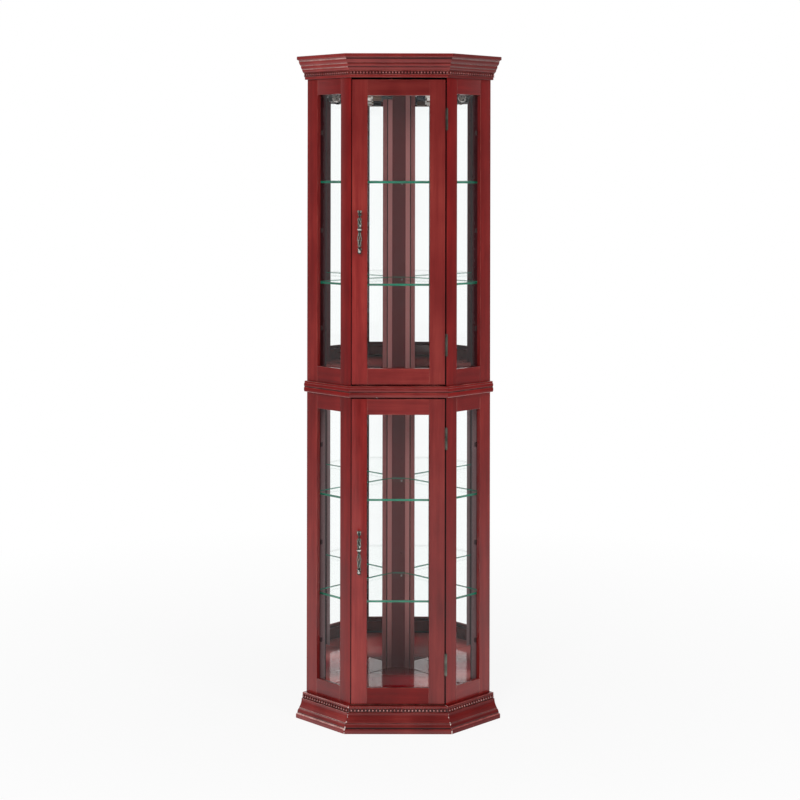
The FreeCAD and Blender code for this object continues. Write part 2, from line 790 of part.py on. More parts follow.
def heat_shield(foil_bottom):
    """Foil under the ceiling, its edges turned down along the sides."""
    side_line = half_front - (frame_thickness + foil_margin) * sqrt(2)
    back_line = wall_reach - (mirror_inset + foil_margin) * sqrt(2)
    corner = ((back_line + side_line) / 2, (back_line - side_line) / 2)
    rear = post_face - foil_margin
    outline = both_halves([(side_line + foil_front, foil_front), corner, (back_line - rear, rear)])
    sheet = prism(plan_point, outline, foil_bottom, foil_bottom + foil_thickness)
    w0 = frame_thickness + foil_margin
    u0, u1 = foil_front * sqrt(2) - w0 + 1.0, side_width - mirror_inset - foil_margin - 1.0
    flange = block(side_point, u0, u1, w0, w0 + foil_thickness, foil_bottom - foil_flange,
                   foil_bottom + foil_thickness)
    return joined([sheet, flange, mirrored(flange)])


# ---- doors -----------------------------------------------------------------------------------
def door_tenon(x0, x1, z0, z1, gap=0.0):
    y0, y1 = tenon_front - gap, tenon_front + tenon_thickness + gap
    return block(plan_point, x0, x1, y0, y1, z0 + tenon_shoulder - gap, z1 - tenon_shoulder + gap)


def door_sight(span):
    """Sight edges of a door's glass: left, right, bottom, top."""
    return (door_left + door_stile_width, door_right - door_stile_width,
            span[0] + door_rail_width, span[1] - door_rail_width)


def door_rebate(span):
    left, right, low, high = door_sight(span)
    return block(plan_point, left - rebate_width, right + rebate_width, front_lip,
                 frame_thickness + 1, low - rebate_width, high + rebate_width)


def door_rail_heights(span):
    left, right, low, high = door_sight(span)
    return ((span[0], low), (high, span[1]))


def door_clip_sets(span):
    left, right, low, high = door_sight(span)
    heights = clip_heights((low, high))
    return [(edge, side, z) for edge, side in ((left, -1), (right, 1)) for z in heights]


def door_clip_screw(edge, side, z, hole=False):
    head_top = Vec(clip_screw_place(edge, side), clip_outer + screw_head_height, z)
    make = screw_hole if hole else screw
    return make(head_top, -BACK, clip_screw_length)


def pull_centre(span):
    return Vec(door_left + door_stile_width / 2, 0.0, (span[0] + span[1]) / 2)


def pull_foot_heights(span):
    reach = pull_length / 2 - pull_boss_radius
    middle = pull_centre(span).z
    return (middle - reach, middle + reach)


def door_pull(span):
    """A turned pull: two feet, a bar with a collar and a swelling, and a ball at each end."""
    centre = pull_centre(span)
    low, high = pull_foot_heights(span)
    axis = Vec(centre.x, -pull_stand_off, 0)
    bar = rod(pull_bar_radius, axis + UP * low, UP, high - low)
    pieces = [bar]
    for z in (low, high):
        pieces.append(Part.makeSphere(pull_boss_radius, axis + UP * z))
        pieces.append(rod(pull_foot_radius, Vec(centre.x, -seat_gap, z), -BACK, pull_stand_off))
        rose_start = Vec(centre.x, -seat_gap, z)
        pieces.append(rod(pull_boss_radius, rose_start, -BACK, pull_rose_thickness))
    quarter = (high - low) / 4
    for middle in (low + quarter, high - quarter):
        for way in (-1, 1):
            start = axis + UP * middle
            cone = Part.makeCone(pull_body_radius, pull_bar_radius, pull_swelling, start, UP * way)
            pieces.append(cone)
    collar_start = axis + UP * (centre.z + pull_collar_rise)
    pieces.append(rod(pull_body_radius, collar_start, UP, pull_collar_height))
    screw_room = [pull_screw(centre.x, z, hole=True) for z in (low, high)]
    return joined(pieces).cut(screw_room)


def pull_screw(x, z, hole=False):
    """A machine screw from the door's back into a foot of the pull."""
    length = frame_thickness + screw_head_height + pull_screw_reach
    head_top = Vec(x, frame_thickness + screw_head_height + tenon_gap, z)
    make = screw_hole if hole else screw
    return make(head_top, -BACK, length)


def strike_middle(span):
    """On the door's back, in line with its catch."""
    lower, upper = catch_bodies()
    catch = lower if span == lower_door_span else upper
    return catch[1] + catch_height / 2


def strike_screw(span, hole=False):
    start = Vec(catch_place, frame_thickness + strike_thickness, strike_middle(span))
    if hole:
        return rod(screw_shank_radius + screw_clearance, start + BACK, -BACK, screw_length)
    head = rod(screw_head_radius * 0.7, start + BACK * (seat_gap), -BACK, seat_gap)
    return head.fuse(rod(screw_shank_radius, start, -BACK, screw_length - 2.0))


def door_holes(span):
    """Room for every screw that enters the door."""
    holes = [door_clip_screw(*each, hole=True) for each in door_clip_sets(span)]
    face_x = door_right + leaf_thickness
    for z in hinge_heights(span):
        holes += [leaf_screw(face_x, -1, each, hole=True) for each in leaf_screw_heights(z)]
    x = pull_centre(span).x
    holes += [pull_screw(x, z, hole=True) for z in pull_foot_heights(span)]
    holes.append(strike_screw(span, hole=True))
    return holes


def door_stiles_and_rails(span, holes):
    left, right, low, high = door_sight(span)
    rebate, heights = door_rebate(span), door_rail_heights(span)
    reach = tenon_length + fit_gap
    mortises = [door_tenon(left - reach, right + reach, z0, z1, tenon_gap) for z0, z1 in heights]
    stiles = []
    for x0, x1 in ((door_left, left), (right, door_right)):
        stile = block(plan_point, x0, x1, 0.0, frame_thickness, *span)
        stiles.append(stile.cut([rebate] + mortises + holes))
    rails = []
    for z0, z1 in heights:
        rail = block(plan_point, left, right, 0.0, frame_thickness, z0, z1)
        rail = rail.fuse(door_tenon(left - tenon_length, right + tenon_length, z0, z1))
        rails.append(rail.removeSplitter().cut([rebate] + holes))
    return stiles, rails


def door_pane(span):
    left, right, low, high = door_sight(span)
    play = rebate_width - rebate_play
    x0, x1 = left - play, right + play
    return block(plan_point, x0, x1, pane_front, pane_back, low - play, high + play)


def strike_plate(span):
    half_wide, half_high, middle = strike_width / 2, strike_height / 2, strike_middle(span)
    x0, x1 = catch_place - half_wide, catch_place + half_wide
    y0, y1 = frame_thickness + tenon_gap, frame_thickness + strike_thickness
    return block(plan_point, x0, x1, y0, y1, middle - half_high, middle + half_high)


def door_screws(span):
    screws = [door_clip_screw(*each) for each in door_clip_sets(span)]
    face_x = door_right + leaf_thickness
    for z in hinge_heights(span):
        screws += [leaf_screw(face_x, -1, each) for each in leaf_screw_heights(z)]
    x = pull_centre(span).x
    screws += [pull_screw(x, z) for z in pull_foot_heights(span)]
    return screws + [strike_screw(span)]


def build_door(name, span):
    holes = door_holes(span)
    stiles, rails = door_stiles_and_rails(span, holes)
    clips = [pane_clip(plan_point, edge, side, frame_thickness, z).cut(holes)
             for edge, side, z in door_clip_sets(span)]
    save(name + "_stiles", *stiles)
    save(name + "_rails", *rails)
    save(name + "_pane", door_pane(span))
    save(name + "_pane_clips", *clips)
    save(name + "_pull", door_pull(span))
    save(name + "_hinge_leaves", *[door_leaf(z) for z in hinge_heights(span)])
    save(name + "_strike_plate", strike_plate(span).cut(holes))
    save(name + "_screws", *door_screws(span))


# ---- the whole cabinet -----------------------------------------------------------------------
os.makedirs("parts", exist_ok=True)
cabinet_screws = build_sides()
build_front_rails()
build_boards()
build_back()
build_shelves()
build_mouldings()
cabinet_screws += build_hinges()
cabinet_screws += build_catches()
save("cabinet_screws", *cabinet_screws)
build_lamp()
build_door("lower_door", lower_door_span)
build_door("upper_door", upper_door_span)
print(len(written), "nodes written")
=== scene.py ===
"""Looks of the corner curio cabinet: stained cherry, clear glass, mirrored backs, pewter pulls."""
import json
from math import atan2, cos, hypot, pi, radians, sin, sqrt, tan

import bmesh
import bpy
from mathutils import Matrix, Vector


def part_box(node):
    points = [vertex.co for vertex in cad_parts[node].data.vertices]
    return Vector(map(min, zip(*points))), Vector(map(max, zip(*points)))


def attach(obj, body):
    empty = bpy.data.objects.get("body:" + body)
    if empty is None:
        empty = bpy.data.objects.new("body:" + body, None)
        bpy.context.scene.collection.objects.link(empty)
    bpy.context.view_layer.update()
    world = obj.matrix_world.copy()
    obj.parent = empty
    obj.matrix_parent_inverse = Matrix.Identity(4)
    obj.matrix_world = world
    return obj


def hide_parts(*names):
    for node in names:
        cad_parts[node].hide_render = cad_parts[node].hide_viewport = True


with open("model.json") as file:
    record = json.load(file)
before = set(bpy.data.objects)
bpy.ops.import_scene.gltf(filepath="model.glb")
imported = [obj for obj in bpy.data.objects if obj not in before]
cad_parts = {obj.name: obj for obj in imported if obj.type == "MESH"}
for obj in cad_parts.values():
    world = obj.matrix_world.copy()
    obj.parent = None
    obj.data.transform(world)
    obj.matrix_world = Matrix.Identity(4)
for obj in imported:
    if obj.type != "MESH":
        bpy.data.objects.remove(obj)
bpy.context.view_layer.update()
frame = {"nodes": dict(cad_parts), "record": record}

MM = 0.001
DIAGONAL = 1 / sqrt(2)
UP = Vector((0, 0, 1))

# ---- places taken from the solids ------------------------------------------------------------
rail_low, rail_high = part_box("front_rails")
DOOR_PLANE = rail_low.y
HALF_FRONT = rail_high.x + 0.3 * MM
CROWN_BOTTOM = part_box("crown_moulding")[0].z
WAIST_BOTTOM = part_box("waist_moulding")[0].z
SIDE_WIDTH = 178 * MM

FRONT_START = Vector((-HALF_FRONT, DOOR_PLANE, 0))
FRONT_ALONG = Vector((1, 0, 0))
FRONT_OUT = Vector((0, -1, 0))
RIGHT_START = Vector((HALF_FRONT, DOOR_PLANE, 0))
RIGHT_ALONG = Vector((DIAGONAL, DIAGONAL, 0))
RIGHT_OUT = Vector((DIAGONAL, -DIAGONAL, 0))
DOORS = ("lower_door", "upper_door")
MITRE = tan(radians(22.5))
MITRE_GAP = 0.12 * MM
MIRROR_TOE = 0.36            # degrees
PULL_HALF_DEPTH = 5.9 * MM
SHELF_GREEN = 2.8 * MM       # how far down a shelf's rear edges look green
STOP_GAP = 0.1 * MM
WELD = 0.004 * MM            # corners closer than this are one
LONG_LINE = 8 * MM           # shorter lines are left sharp
SOFT_EDGE = 0.45 * MM
FOOT_ROUND_TOP = (11 * MM, 14 * MM)

# Heights in metres: between which painted shade deepens on the upper doors and the post's foot, and
# painted light greys the lower backs; above which the upper door's top rail takes painted shade,
# and below which the lower door's bottom rail takes a stain of its own.
UPPER_DOOR_SHADE_HEIGHTS = (1.25, 1.72)
POST_FOOT_SHADE_HEIGHTS = (0.27, 0.09)
LOWER_BACK_LIGHT_HEIGHTS = (0.88, 0.93)
TOP_RAIL_SHADE_ABOVE = 1.5
LOW_RAIL_BELOW = 0.3

# The view: in pixels of a square picture, and in metres.
PICTURE_SIDE = 800
LENS_LENGTH = 1689
HORIZON_ROW = 175.7
CAMERA_PLACE = Vector((2.84 * MM, DOOR_PLANE - 4574 * MM, 1500 * MM))
CAMERA_ROLL = radians(-0.1)


# ---- shader expressions ----------------------------------------------------------------------
class Signal:
    """A node's output that can be added to, multiplied and raised like a number."""

    def __init__(self, finish, socket):
        self.finish = finish
        self.socket = socket

    def math(self, operation, *values):
        return self.finish.node("ShaderNodeMath", {"operation": operation}, *values)

    def __add__(self, other):
        return self.math("ADD", self, other)

    def __mul__(self, other):
        return self.math("MULTIPLY", self, other)

    def __rsub__(self, other):
        return self.math("SUBTRACT", other, self)

    def __pow__(self, other):
        return self.math("POWER", self, other)

    def size(self):
        return self.math("ABSOLUTE", self)

    def larger(self, other):
        return self.math("MAXIMUM", self, other)


class Finish:
    """A material or world being painted: nodes are added by one method."""

    def __init__(self, owner):
        owner.use_nodes = True
        self.owner = owner
        self.tree = owner.node_tree
        self.tree.nodes.clear()

    def node(self, kind, settings=None, *values, output=0, **named):
        """Add a node: its settings first, then its sockets in order or by name.

        What comes back is one of its outputs, by number or name, unless output is None.
        """
        made = self.tree.nodes.new(kind)
        for key, value in (settings or {}).items():
            if key == "stops":
                while len(made.color_ramp.elements) < len(value):
                    made.color_ramp.elements.new(0.5)
                for element, (place, colour) in zip(made.color_ramp.elements, value):
                    element.position = place
                    element.color = colour
            else:
                setattr(made, key, value)
        slots = list(enumerate(values))
        slots += [(name.replace("_", " "), value) for name, value in named.items()]
        for slot, value in slots:
            if value is None:
                continue
            if isinstance(value, Signal):
                self.tree.links.new(value.socket, made.inputs[slot])
            else:
                made.inputs[slot].default_value = value
        return None if output is None else Signal(self, made.outputs[output])

    def blend(self, share, low, high, how="MIX"):
        """A colour between two, by share: the node's inputs 6 and 7, and its output 2."""
        settings = {"data_type": "RGBA", "blend_type": how, "clamp_factor": True}
        return self.node("ShaderNodeMix", settings, share, None, None, None, None, None, low, high,
                         output=2)

    def dimmed(self, where, colour, share):
        """The colour times a share, as far as it is wanted there."""
        return self.blend(where, colour, (share, share, share, 1), "MULTIPLY")

    def fade(self, value, begin, end, low=0.0, high=1.0):
        """From low where the value is at begin, to high where it is at end."""
        return self.node("ShaderNodeMapRange", None, value, begin, end, low, high)

    def ramp(self, value, *stops):
        """Colours along a value, from (place, colour) stops."""
        return self.node("ShaderNodeValToRGB", {"stops": stops}, value)

    def parts(self, vector):
        """A vector's three numbers."""
        return [self.node("ShaderNodeSeparateXYZ", None, vector, output=k) for k in range(3)]

    def place(self, turn=0.0, scale=(1, 1, 1)):
        """Object coordinates, turned about Z and then scaled."""
        here = self.node("ShaderNodeTexCoord", output="Object")
        turned = self.node("ShaderNodeMapping", {"vector_type": "POINT"}, here,
                           None, (0, 0, turn))
        return self.node("ShaderNodeMapping", {"vector_type": "POINT"}, turned,
                         None, None, scale)

    def noise(self, place, scale=1.0, detail=3.0, roughness=0.5):
        return self.node("ShaderNodeTexNoise", None, place, None, scale, detail, roughness)

    def bump(self, height, strength, distance):
        return self.node("ShaderNodeBump", None, Height=height, Strength=strength,
                         Distance=distance)

    def done(self, surface, target="ShaderNodeOutputMaterial"):
        """Send the finished surface to the output, and return what was being painted."""
        self.node(target, None, surface, output=None)
        return self.owner


def rgb(red, green, blue):
    """A colour named by its display values, 0 to 255."""
    def linear(value):
        value /= 255
        return value / 12.92 if value <= 0.04045 else ((value + 0.055) / 1.055) ** 2.4
    return (linear(red), linear(green), linear(blue), 1.0)


WHITE = (1, 1, 1, 1)


def new_finish(name):
    return Finish(bpy.data.materials.new(name))


def shader(finish, **named):
    return finish.node("ShaderNodeBsdfPrincipled", None, **named)


# ---- finishes --------------------------------------------------------------------------------
def painted_height_shade(f, colour, plain, deep, share):
    """Painted shade: the colour darker towards a height, from where it is plain to where it is
    deepest.
    """
    return f.dimmed(f.fade(f.parts(f.place())[2], plain, deep), colour, share)


def beside_corner(f, across):
    """1 in the strip beside the rear corner, and 0 past it: where painted light is laid."""
    return f.fade(across.size(), 0.047, 0.056, 1.0, 0.0)


def stained_cherry(name, stain, turn=0.0, upright=False, polish=0.26, shine=0.35, lacquer=0.35,
                   deeper=None):
    """Red stained wood under lacquer, its grain along the board, with painted shade darkening it
    towards a height.
    """
    f = new_finish(name)
    dark, middle, light = stain
    along, across = 3.2, 80.0
    stretch = (across, across, along) if upright else (along, across, across)
    figure = f.noise(f.place(turn, stretch), 1.0, 5.0, 0.6)
    fine = f.noise(f.place(turn, tuple(v * 7 for v in stretch)), 1.0, 3.0, 0.6)
    mottle = f.noise(f.place(turn, (9, 9, 5)), 1.0, 3.0, 0.55)
    tone = figure * 0.36 + mottle * 0.46 + fine * 0.18
    colour = f.ramp(tone, (0.35, dark), (0.5, middle), (0.66, light))
    # Painted shade towards a height.
    if deeper:
        colour = painted_height_shade(f, colour, *deeper)
    rough = mottle * 0.14 + polish
    return f.done(shader(f, Base_Color=colour, Roughness=rough, Normal=f.bump(fine, 0.1, 0.0003),
                         Specular_IOR_Level=shine, Coat_Weight=lacquer, Coat_Roughness=0.14))


def lacquer_mottle(name, low, high):
    """Lacquer mottled between two colours; most finishes made with it are painted highlights, sheen
    or light.
    """
    f = new_finish(name)
    cloud = f.noise(f.place(0, (30, 30, 14)), 1.0, 4.0, 0.6)
    return f.done(shader(f, Base_Color=f.ramp(cloud, (0.36, low), (0.62, high)),
                         Roughness=cloud * 0.1 + 0.2, Coat_Weight=0.5, Coat_Roughness=0.12))


def specked(name, stain, bare):
    """Stain with specks chipped through to the bare wood."""
    f = new_finish(name)
    chips = f.noise(f.place(0, (150, 150, 190)), 1.0, 2.0, 0.5)
    return f.done(shader(f, Base_Color=f.ramp(chips, (0.5, stain), (0.56, bare)),
                         Roughness=chips * 0.1 + 0.3))


def painted_board(name, low, high, near_corner, deeper=None):
    """Dark cherry paint on thin board, with painted light making it paler beside the rear corner.
    """
    f = new_finish(name)
    cloud = f.noise(f.place(0, (12, 12, 3)), 1.0, 3.0, 0.5)
    colour = f.ramp(cloud, (0.3, low), (0.7, high))
    # Painted light beside the rear corner, and painted shade towards a height where asked.
    colour = f.blend(beside_corner(f, f.parts(f.place())[0]), colour, near_corner)
    if deeper:
        colour = painted_height_shade(f, colour, *deeper)
    return f.done(shader(f, Base_Color=colour, Roughness=cloud * 0.1 + 0.42))


def panel_inside_lit(name, near_corner):
    """The backs' inner faces: dark paint above, painted light greying them in the lower cabinet and
    paling them beside the corner, with painted shade at the corner's foot.
    """
    f = new_finish(name)
    cloud = f.noise(f.place(0, (12, 12, 3)), 1.0, 3.0, 0.5)
    across, _, height = f.parts(f.place())
    dark = f.ramp(cloud, (0.3, rgb(54, 22, 26)), (0.7, rgb(70, 31, 36)))
    # Painted light: grey in the lower cabinet, pale beside the corner, with painted shade at the
    # corner's foot.
    lower_light_grey = f.ramp(cloud, (0.3, rgb(122, 100, 102)), (0.7, rgb(136, 112, 114)))
    low = f.fade(height, *LOWER_BACK_LIGHT_HEIGHTS, 1.0, 0.0)
    inwards = f.fade(across.size(), 0.2165, 0.2195, 1.0, 0.0)
    colour = f.blend(low * inwards, dark, lower_light_grey)
    near_corner = painted_height_shade(f, near_corner, *POST_FOOT_SHADE_HEIGHTS, 0.35)
    colour = f.blend(beside_corner(f, across), colour, near_corner)
    return f.done(shader(f, Base_Color=colour, Roughness=cloud * 0.1 + 0.5, Specular_IOR_Level=0.2))


def polished_floor(name, stain):
    """The floor boards: polished, with painted light paler at the sides, and painted shade into the
    rear corner and below the door."""
    f = new_finish(name)
    cloud = f.noise(f.place(0, (9, 14, 9)), 1.0, 3.0, 0.55)
    grain = f.noise(f.place(0, (4, 60, 60)), 1.0, 3.0, 0.6)
    tone = cloud * 0.6 + grain * 0.4
    colour = f.ramp(tone, (0.38, stain[0]), (0.62, stain[1]))
    across, back, _ = f.parts(f.place())
    # Painted light paler at the sides; painted shade into the rear corner and a painted shadow
    # under the door.
    sides = f.fade(across.size(), 0.035, 0.085)
    colour = f.blend(sides, colour, rgb(206, 104, 100))
    rear = f.fade(back, 0.06, 0.135)
    colour = f.dimmed(rear, colour, 0.25)
    shadow_under_door = f.fade(back, -0.149, -0.155)
    colour = f.dimmed(shadow_under_door, colour, 0.08)
    return f.done(shader(f, Base_Color=colour, Roughness=cloud * 0.06 + 0.05,
                         Specular_IOR_Level=0.35, Specular_Tint=(1, 0.7, 0.7, 1)))


def clear_glass(name, tint, grazing_share=0.96):
    """Glass seen through its faces, with more gloss along them."""
    f = new_finish(name)
    grazing = f.node("ShaderNodeLayerWeight", None, 0.5, output="Facing")
    gleam = grazing ** 5 * grazing_share + 0.012
    through = f.node("ShaderNodeBsdfTransparent", None, tint)
    gloss = f.node("ShaderNodeBsdfGlossy", None, Color=WHITE, Roughness=0.0)
    return f.done(f.node("ShaderNodeMixShader", None, gleam, through, gloss))


def lamp_glass(name, low, high):
    """A showcase bulb's glass, streaked along its length, with a faint painted glow."""
    f = new_finish(name)
    streaks = f.noise(f.place(0, (9, 150, 150)), 1.0, 2.0, 0.5)
    colour = f.ramp(streaks, (0.4, low), (0.5, high))
    return f.done(shader(f, Base_Color=colour, Roughness=streaks * 0.1 + 0.2, Emission_Color=colour,
                         Emission_Strength=0.22))


def glass_edge(name, low, high, cover, glow, cover_inside=None):
    """The cut edge of plate glass, with a painted glow standing for the light it gathers inside it.
    """
    f = new_finish(name)
    if cover_inside is not None:
        inside = f.node("ShaderNodeNewGeometry", output="Backfacing")
        cover = inside * (cover_inside - cover) + cover
    cloud = f.noise(f.place(0, (14, 14, 40)), 1.0, 3.0, 0.5)
    colour = f.ramp(cloud, (0.35, low), (0.65, high))
    return f.done(shader(f, Base_Color=colour, Roughness=0.18, Alpha=cover, Emission_Color=colour,
                         Emission_Strength=glow))


def mirror_silver(name):
    """Silvered glass."""
    f = new_finish(name)
    cloud = f.noise(f.place(0, (3, 3, 3)), 1.0, 2.0, 0.5)
    colour = f.ramp(cloud, (0.3, rgb(252, 253, 253)), (0.7, rgb(254, 255, 255)))
    return f.done(shader(f, Base_Color=colour, Metallic=1.0, Roughness=0.0))


def plain_metal(name, low, high, rough, wear=40.0, metallic=1.0):
    """Metal mottled between two colours, the finer the greater its wear."""
    f = new_finish(name)
    cloud = f.noise(f.place(0, (wear, wear, wear)), 1.0, 4.0, 0.6)
    return f.done(shader(f, Base_Color=f.ramp(cloud, (0.35, low), (0.65, high)), Metallic=metallic,
                         Roughness=cloud * 0.2 + rough))


def crinkled_foil(name, low, high):
    """Thin foil, creased all over."""
    f = new_finish(name)
    creases = f.noise(f.place(0.4, (60, 24, 60)), 1.0, 4.0, 0.7)
    lift = f.bump(creases, 1.0, 0.012)
    return f.done(shader(f, Base_Color=f.ramp(creases, (0.35, low), (0.6, high)), Metallic=1.0,
                         Roughness=creases * 0.1 + 0.05, Normal=lift))


def plain_plastic(name, colour, rough, cover=1.0):
    """Moulded plastic, clear where its cover is under 1."""
    f = new_finish(name)
    cloud = f.noise(f.place(0, (60, 60, 60)), 1.0, 3.0, 0.5)
    dark = tuple(v * 0.8 for v in colour[:3]) + (1.0,)
    return f.done(shader(f, Base_Color=f.ramp(cloud, (0.3, dark), (0.7, colour)),
                         Roughness=cloud * 0.1 + rough, Alpha=cover))


def shaded(stain, share):
    """The stain's colours times a share, lighter where it is over 1: used for stains of their own
    and for copies with painted light or shade.
    """
    return tuple(tuple(v * share for v in colour[:3]) + (1.0,) for colour in stain)


DOOR_STAIN = (rgb(98, 18, 17), rgb(124, 33, 31), rgb(146, 52, 46))
FRAME_STAIN = (rgb(90, 8, 9), rgb(110, 14, 14), rgb(130, 26, 23))
OUTER_STAIN = (rgb(92, 14, 14), rgb(114, 23, 22), rgb(136, 38, 34))
MOULDING_STAIN = (rgb(88, 15, 15), rgb(116, 29, 27), rgb(142, 50, 45))
# Painted light beside the rear corner.
CORNER_PAINTED_LIGHT = rgb(150, 92, 90)

# The door stiles deepen towards the upper door's top: painted shade under the crown.
DOOR_UPRIGHT = stained_cherry("door_upright", DOOR_STAIN, upright=True,
                              deeper=(*UPPER_DOOR_SHADE_HEIGHTS, 0.66))
DOOR_HINGE_UPRIGHT = stained_cherry("door_hinge_upright", shaded(DOOR_STAIN, 0.74), upright=True,
                                    deeper=(*UPPER_DOOR_SHADE_HEIGHTS, 0.84))
DOOR_ACROSS = stained_cherry("door_across", shaded(DOOR_STAIN, 0.80))
# The upper door's top rail: painted shade under the crown.
DOOR_TOP_RAIL_SHADE = stained_cherry("door_top_rail_painted_shade", shaded(DOOR_STAIN, 0.54))
DOOR_LOW_RAIL = stained_cherry("door_low_rail", shaded(FRAME_STAIN, 0.82), shine=0.2, lacquer=0.15)
FRAME_UPRIGHT = stained_cherry("frame_upright", FRAME_STAIN, upright=True, lacquer=0.22)
OUTER_UPRIGHT = stained_cherry("outer_upright", OUTER_STAIN, upright=True)
FRAME_RIGHT = stained_cherry("frame_right_run", FRAME_STAIN, radians(-45))
FRAME_LEFT = stained_cherry("frame_left_run", FRAME_STAIN, radians(45))
# Crown side lengths below: the right a painted-shade copy of the stain, the left a painted-light
# copy.
CHERRY_ACROSS = stained_cherry("moulding_across", shaded(MOULDING_STAIN, 0.84))
CHERRY_RIGHT_SHADED = stained_cherry("moulding_right_run_painted_shade", shaded(MOULDING_STAIN, 0.66), radians(-45))
CHERRY_LEFT_LIT = stained_cherry("moulding_left_run_painted_light", shaded(MOULDING_STAIN, 1.25), radians(45))
WAIST_STAIN = shaded(FRAME_STAIN, 1.05)
WAIST_RIGHT = stained_cherry("waist_right_run", WAIST_STAIN, radians(-45), shine=0.2, lacquer=0.1)
WAIST_LEFT = stained_cherry("waist_left_run", WAIST_STAIN, radians(45), shine=0.2, lacquer=0.1)
BASE_ACROSS = stained_cherry("base_across", shaded(MOULDING_STAIN, 0.76))
# Base side lengths: the right a painted-shade copy, the left a painted-light copy.
BASE_RIGHT_SHADED = stained_cherry("base_right_run_painted_shade", shaded(FRAME_STAIN, 0.7), radians(-45), shine=0.2,
                            lacquer=0.1)
BASE_LEFT_LIT = stained_cherry("base_left_run_painted_light", shaded(MOULDING_STAIN, 1.1), radians(45))
# Dark glaze as painted shade: in inner corners, under overhangs, behind the beads and on the door
# stops.
SHADE_GLAZE = stained_cherry("dark_glaze_painted_shade", (rgb(30, 7, 7), rgb(44, 10, 10), rgb(60, 16, 15)), lacquer=0.1)
# Painted shade on faces beside the door gaps and under the crown's side lengths.
GAP_SHADE = stained_cherry("board_sides_painted_shade", (rgb(28, 7, 7), rgb(38, 9, 9), rgb(50, 13, 13)),
                           upright=True, lacquer=0.05)
WORN_MITRE = specked("chipped_mitre", rgb(96, 26, 25), rgb(240, 224, 218))
# Painted highlights: pale edges on the base's left side and the waist sides' lower edge, then pale
# grooves on the crown's sides, brighter on the left.
PALE_EDGE_HIGHLIGHT = lacquer_mottle("edge_painted_highlight", rgb(176, 116, 110), rgb(222, 178, 172))
GROOVE_HIGHLIGHT_RIGHT = lacquer_mottle("groove_painted_highlight_right", rgb(98, 66, 63), rgb(124, 94, 91))
GROOVE_HIGHLIGHT_LEFT = lacquer_mottle("groove_painted_highlight_left", rgb(140, 98, 93), rgb(180, 138, 133))
BEAD = stained_cherry("turned_beads", shaded(MOULDING_STAIN, 0.7), polish=0.1, shine=0.4,
                      lacquer=0.5)
# Painted glints on the beads' faces turned toward the viewer.
BEAD_GLINTS = {"crown": lacquer_mottle("crown_bead_painted_glints", rgb(110, 56, 54), rgb(150, 98, 94)),
             "base": lacquer_mottle("base_bead_painted_glints", rgb(134, 82, 78), rgb(176, 130, 126))}
# Next line: mottled dark to pale along eased board edges and the waist's side noses. The line
# after: painted sheen along eased moulding edges.
EDGE_MOTTLE = lacquer_mottle("lacquer_mottle", rgb(70, 14, 14), rgb(160, 84, 74))
EDGE_SHEEN = lacquer_mottle("moulding_edge_sheen", rgb(120, 34, 32), rgb(158, 74, 68))
POLISHED_FLOOR = polished_floor("polished_floor", (rgb(140, 18, 26), rgb(174, 30, 41)))
# Painted light on the inner faces of the backs and boards.
PANEL_INSIDE_LIT = panel_inside_lit("panel_inside_lit", CORNER_PAINTED_LIGHT)
INSIDE_PAINTED_LIGHT = lacquer_mottle("board_inside_painted_light", rgb(96, 46, 45), rgb(122, 66, 64))
PAINTED = painted_board("painted_board", rgb(72, 34, 35), rgb(86, 42, 43), CORNER_PAINTED_LIGHT)
# The post: painted shade on its face, painted light on its legs, both darkened by painted shade at
# its foot; painted shadow on the legs' ends.
POST_FACE_SHADE = painted_board("post_face_painted_shade", rgb(58, 22, 25), rgb(92, 40, 43), rgb(88, 30, 33),
                          (*POST_FOOT_SHADE_HEIGHTS, 0.55))
POST_LEG_LIT = painted_board("post_leg_painted_light", rgb(168, 108, 106), rgb(196, 136, 134), rgb(182, 122, 120),
                         (*POST_FOOT_SHADE_HEIGHTS, 0.25))
POST_END_SHADE = painted_board("post_end_painted_shade", rgb(34, 14, 15), rgb(46, 20, 21), rgb(40, 17, 18))
PANE_GLASS = clear_glass("pane_glass", (0.997, 0.999, 0.998, 1))
SHELF_GLASS = clear_glass("shelf_glass", (0.985, 0.994, 0.99, 1), 0.35)
# Shelf edges: a painted glow, through emission.
SHELF_EDGE = glass_edge("shelf_front_edge", rgb(10, 76, 58), rgb(20, 108, 84), 0.94, 0.35, 0.12)
SHELF_REAR = glass_edge("shelf_rear_edge", rgb(12, 88, 72), rgb(30, 122, 102), 0.95, 0.34)
MIRROR = mirror_silver("mirror_silver")
MIRROR_EDGE = plain_plastic("mirror_edge", rgb(34, 27, 29), 0.6)
HINGE_METAL = plain_metal("hinge_metal", rgb(84, 90, 82), rgb(136, 140, 130), 0.34)
STEEL = plain_metal("zinc_plate", rgb(150, 150, 150), rgb(190, 190, 188), 0.3)
PEWTER = plain_metal("antique_pewter", rgb(46, 50, 46), rgb(166, 172, 162), 0.14, 520, 0.4)
RUBBED_PEWTER = plain_metal("rubbed_pewter", rgb(124, 128, 122), rgb(232, 232, 226), 0.1, 420, 0.35)
OLD_PEWTER = plain_metal("oxidised_pewter", rgb(24, 27, 25), rgb(70, 75, 69), 0.25, 420, 0.5)
CLIP_PLASTIC = plain_plastic("clip_plastic", rgb(150, 150, 150), 0.4, 0.8)
SIDE_CLIP = plain_plastic("side_clip_plastic", rgb(66, 52, 54), 0.5)
BROWN_PLASTIC = plain_plastic("brown_plastic", rgb(122, 94, 78), 0.4)
NAVY_PLASTIC = plain_plastic("navy_plastic", rgb(38, 44, 54), 0.35)
BLACK_PLASTIC = plain_plastic("black_plastic", rgb(30, 30, 30), 0.5)
ENAMEL = plain_metal("lamp_enamel", rgb(84, 88, 88), rgb(104, 108, 108), 0.4)
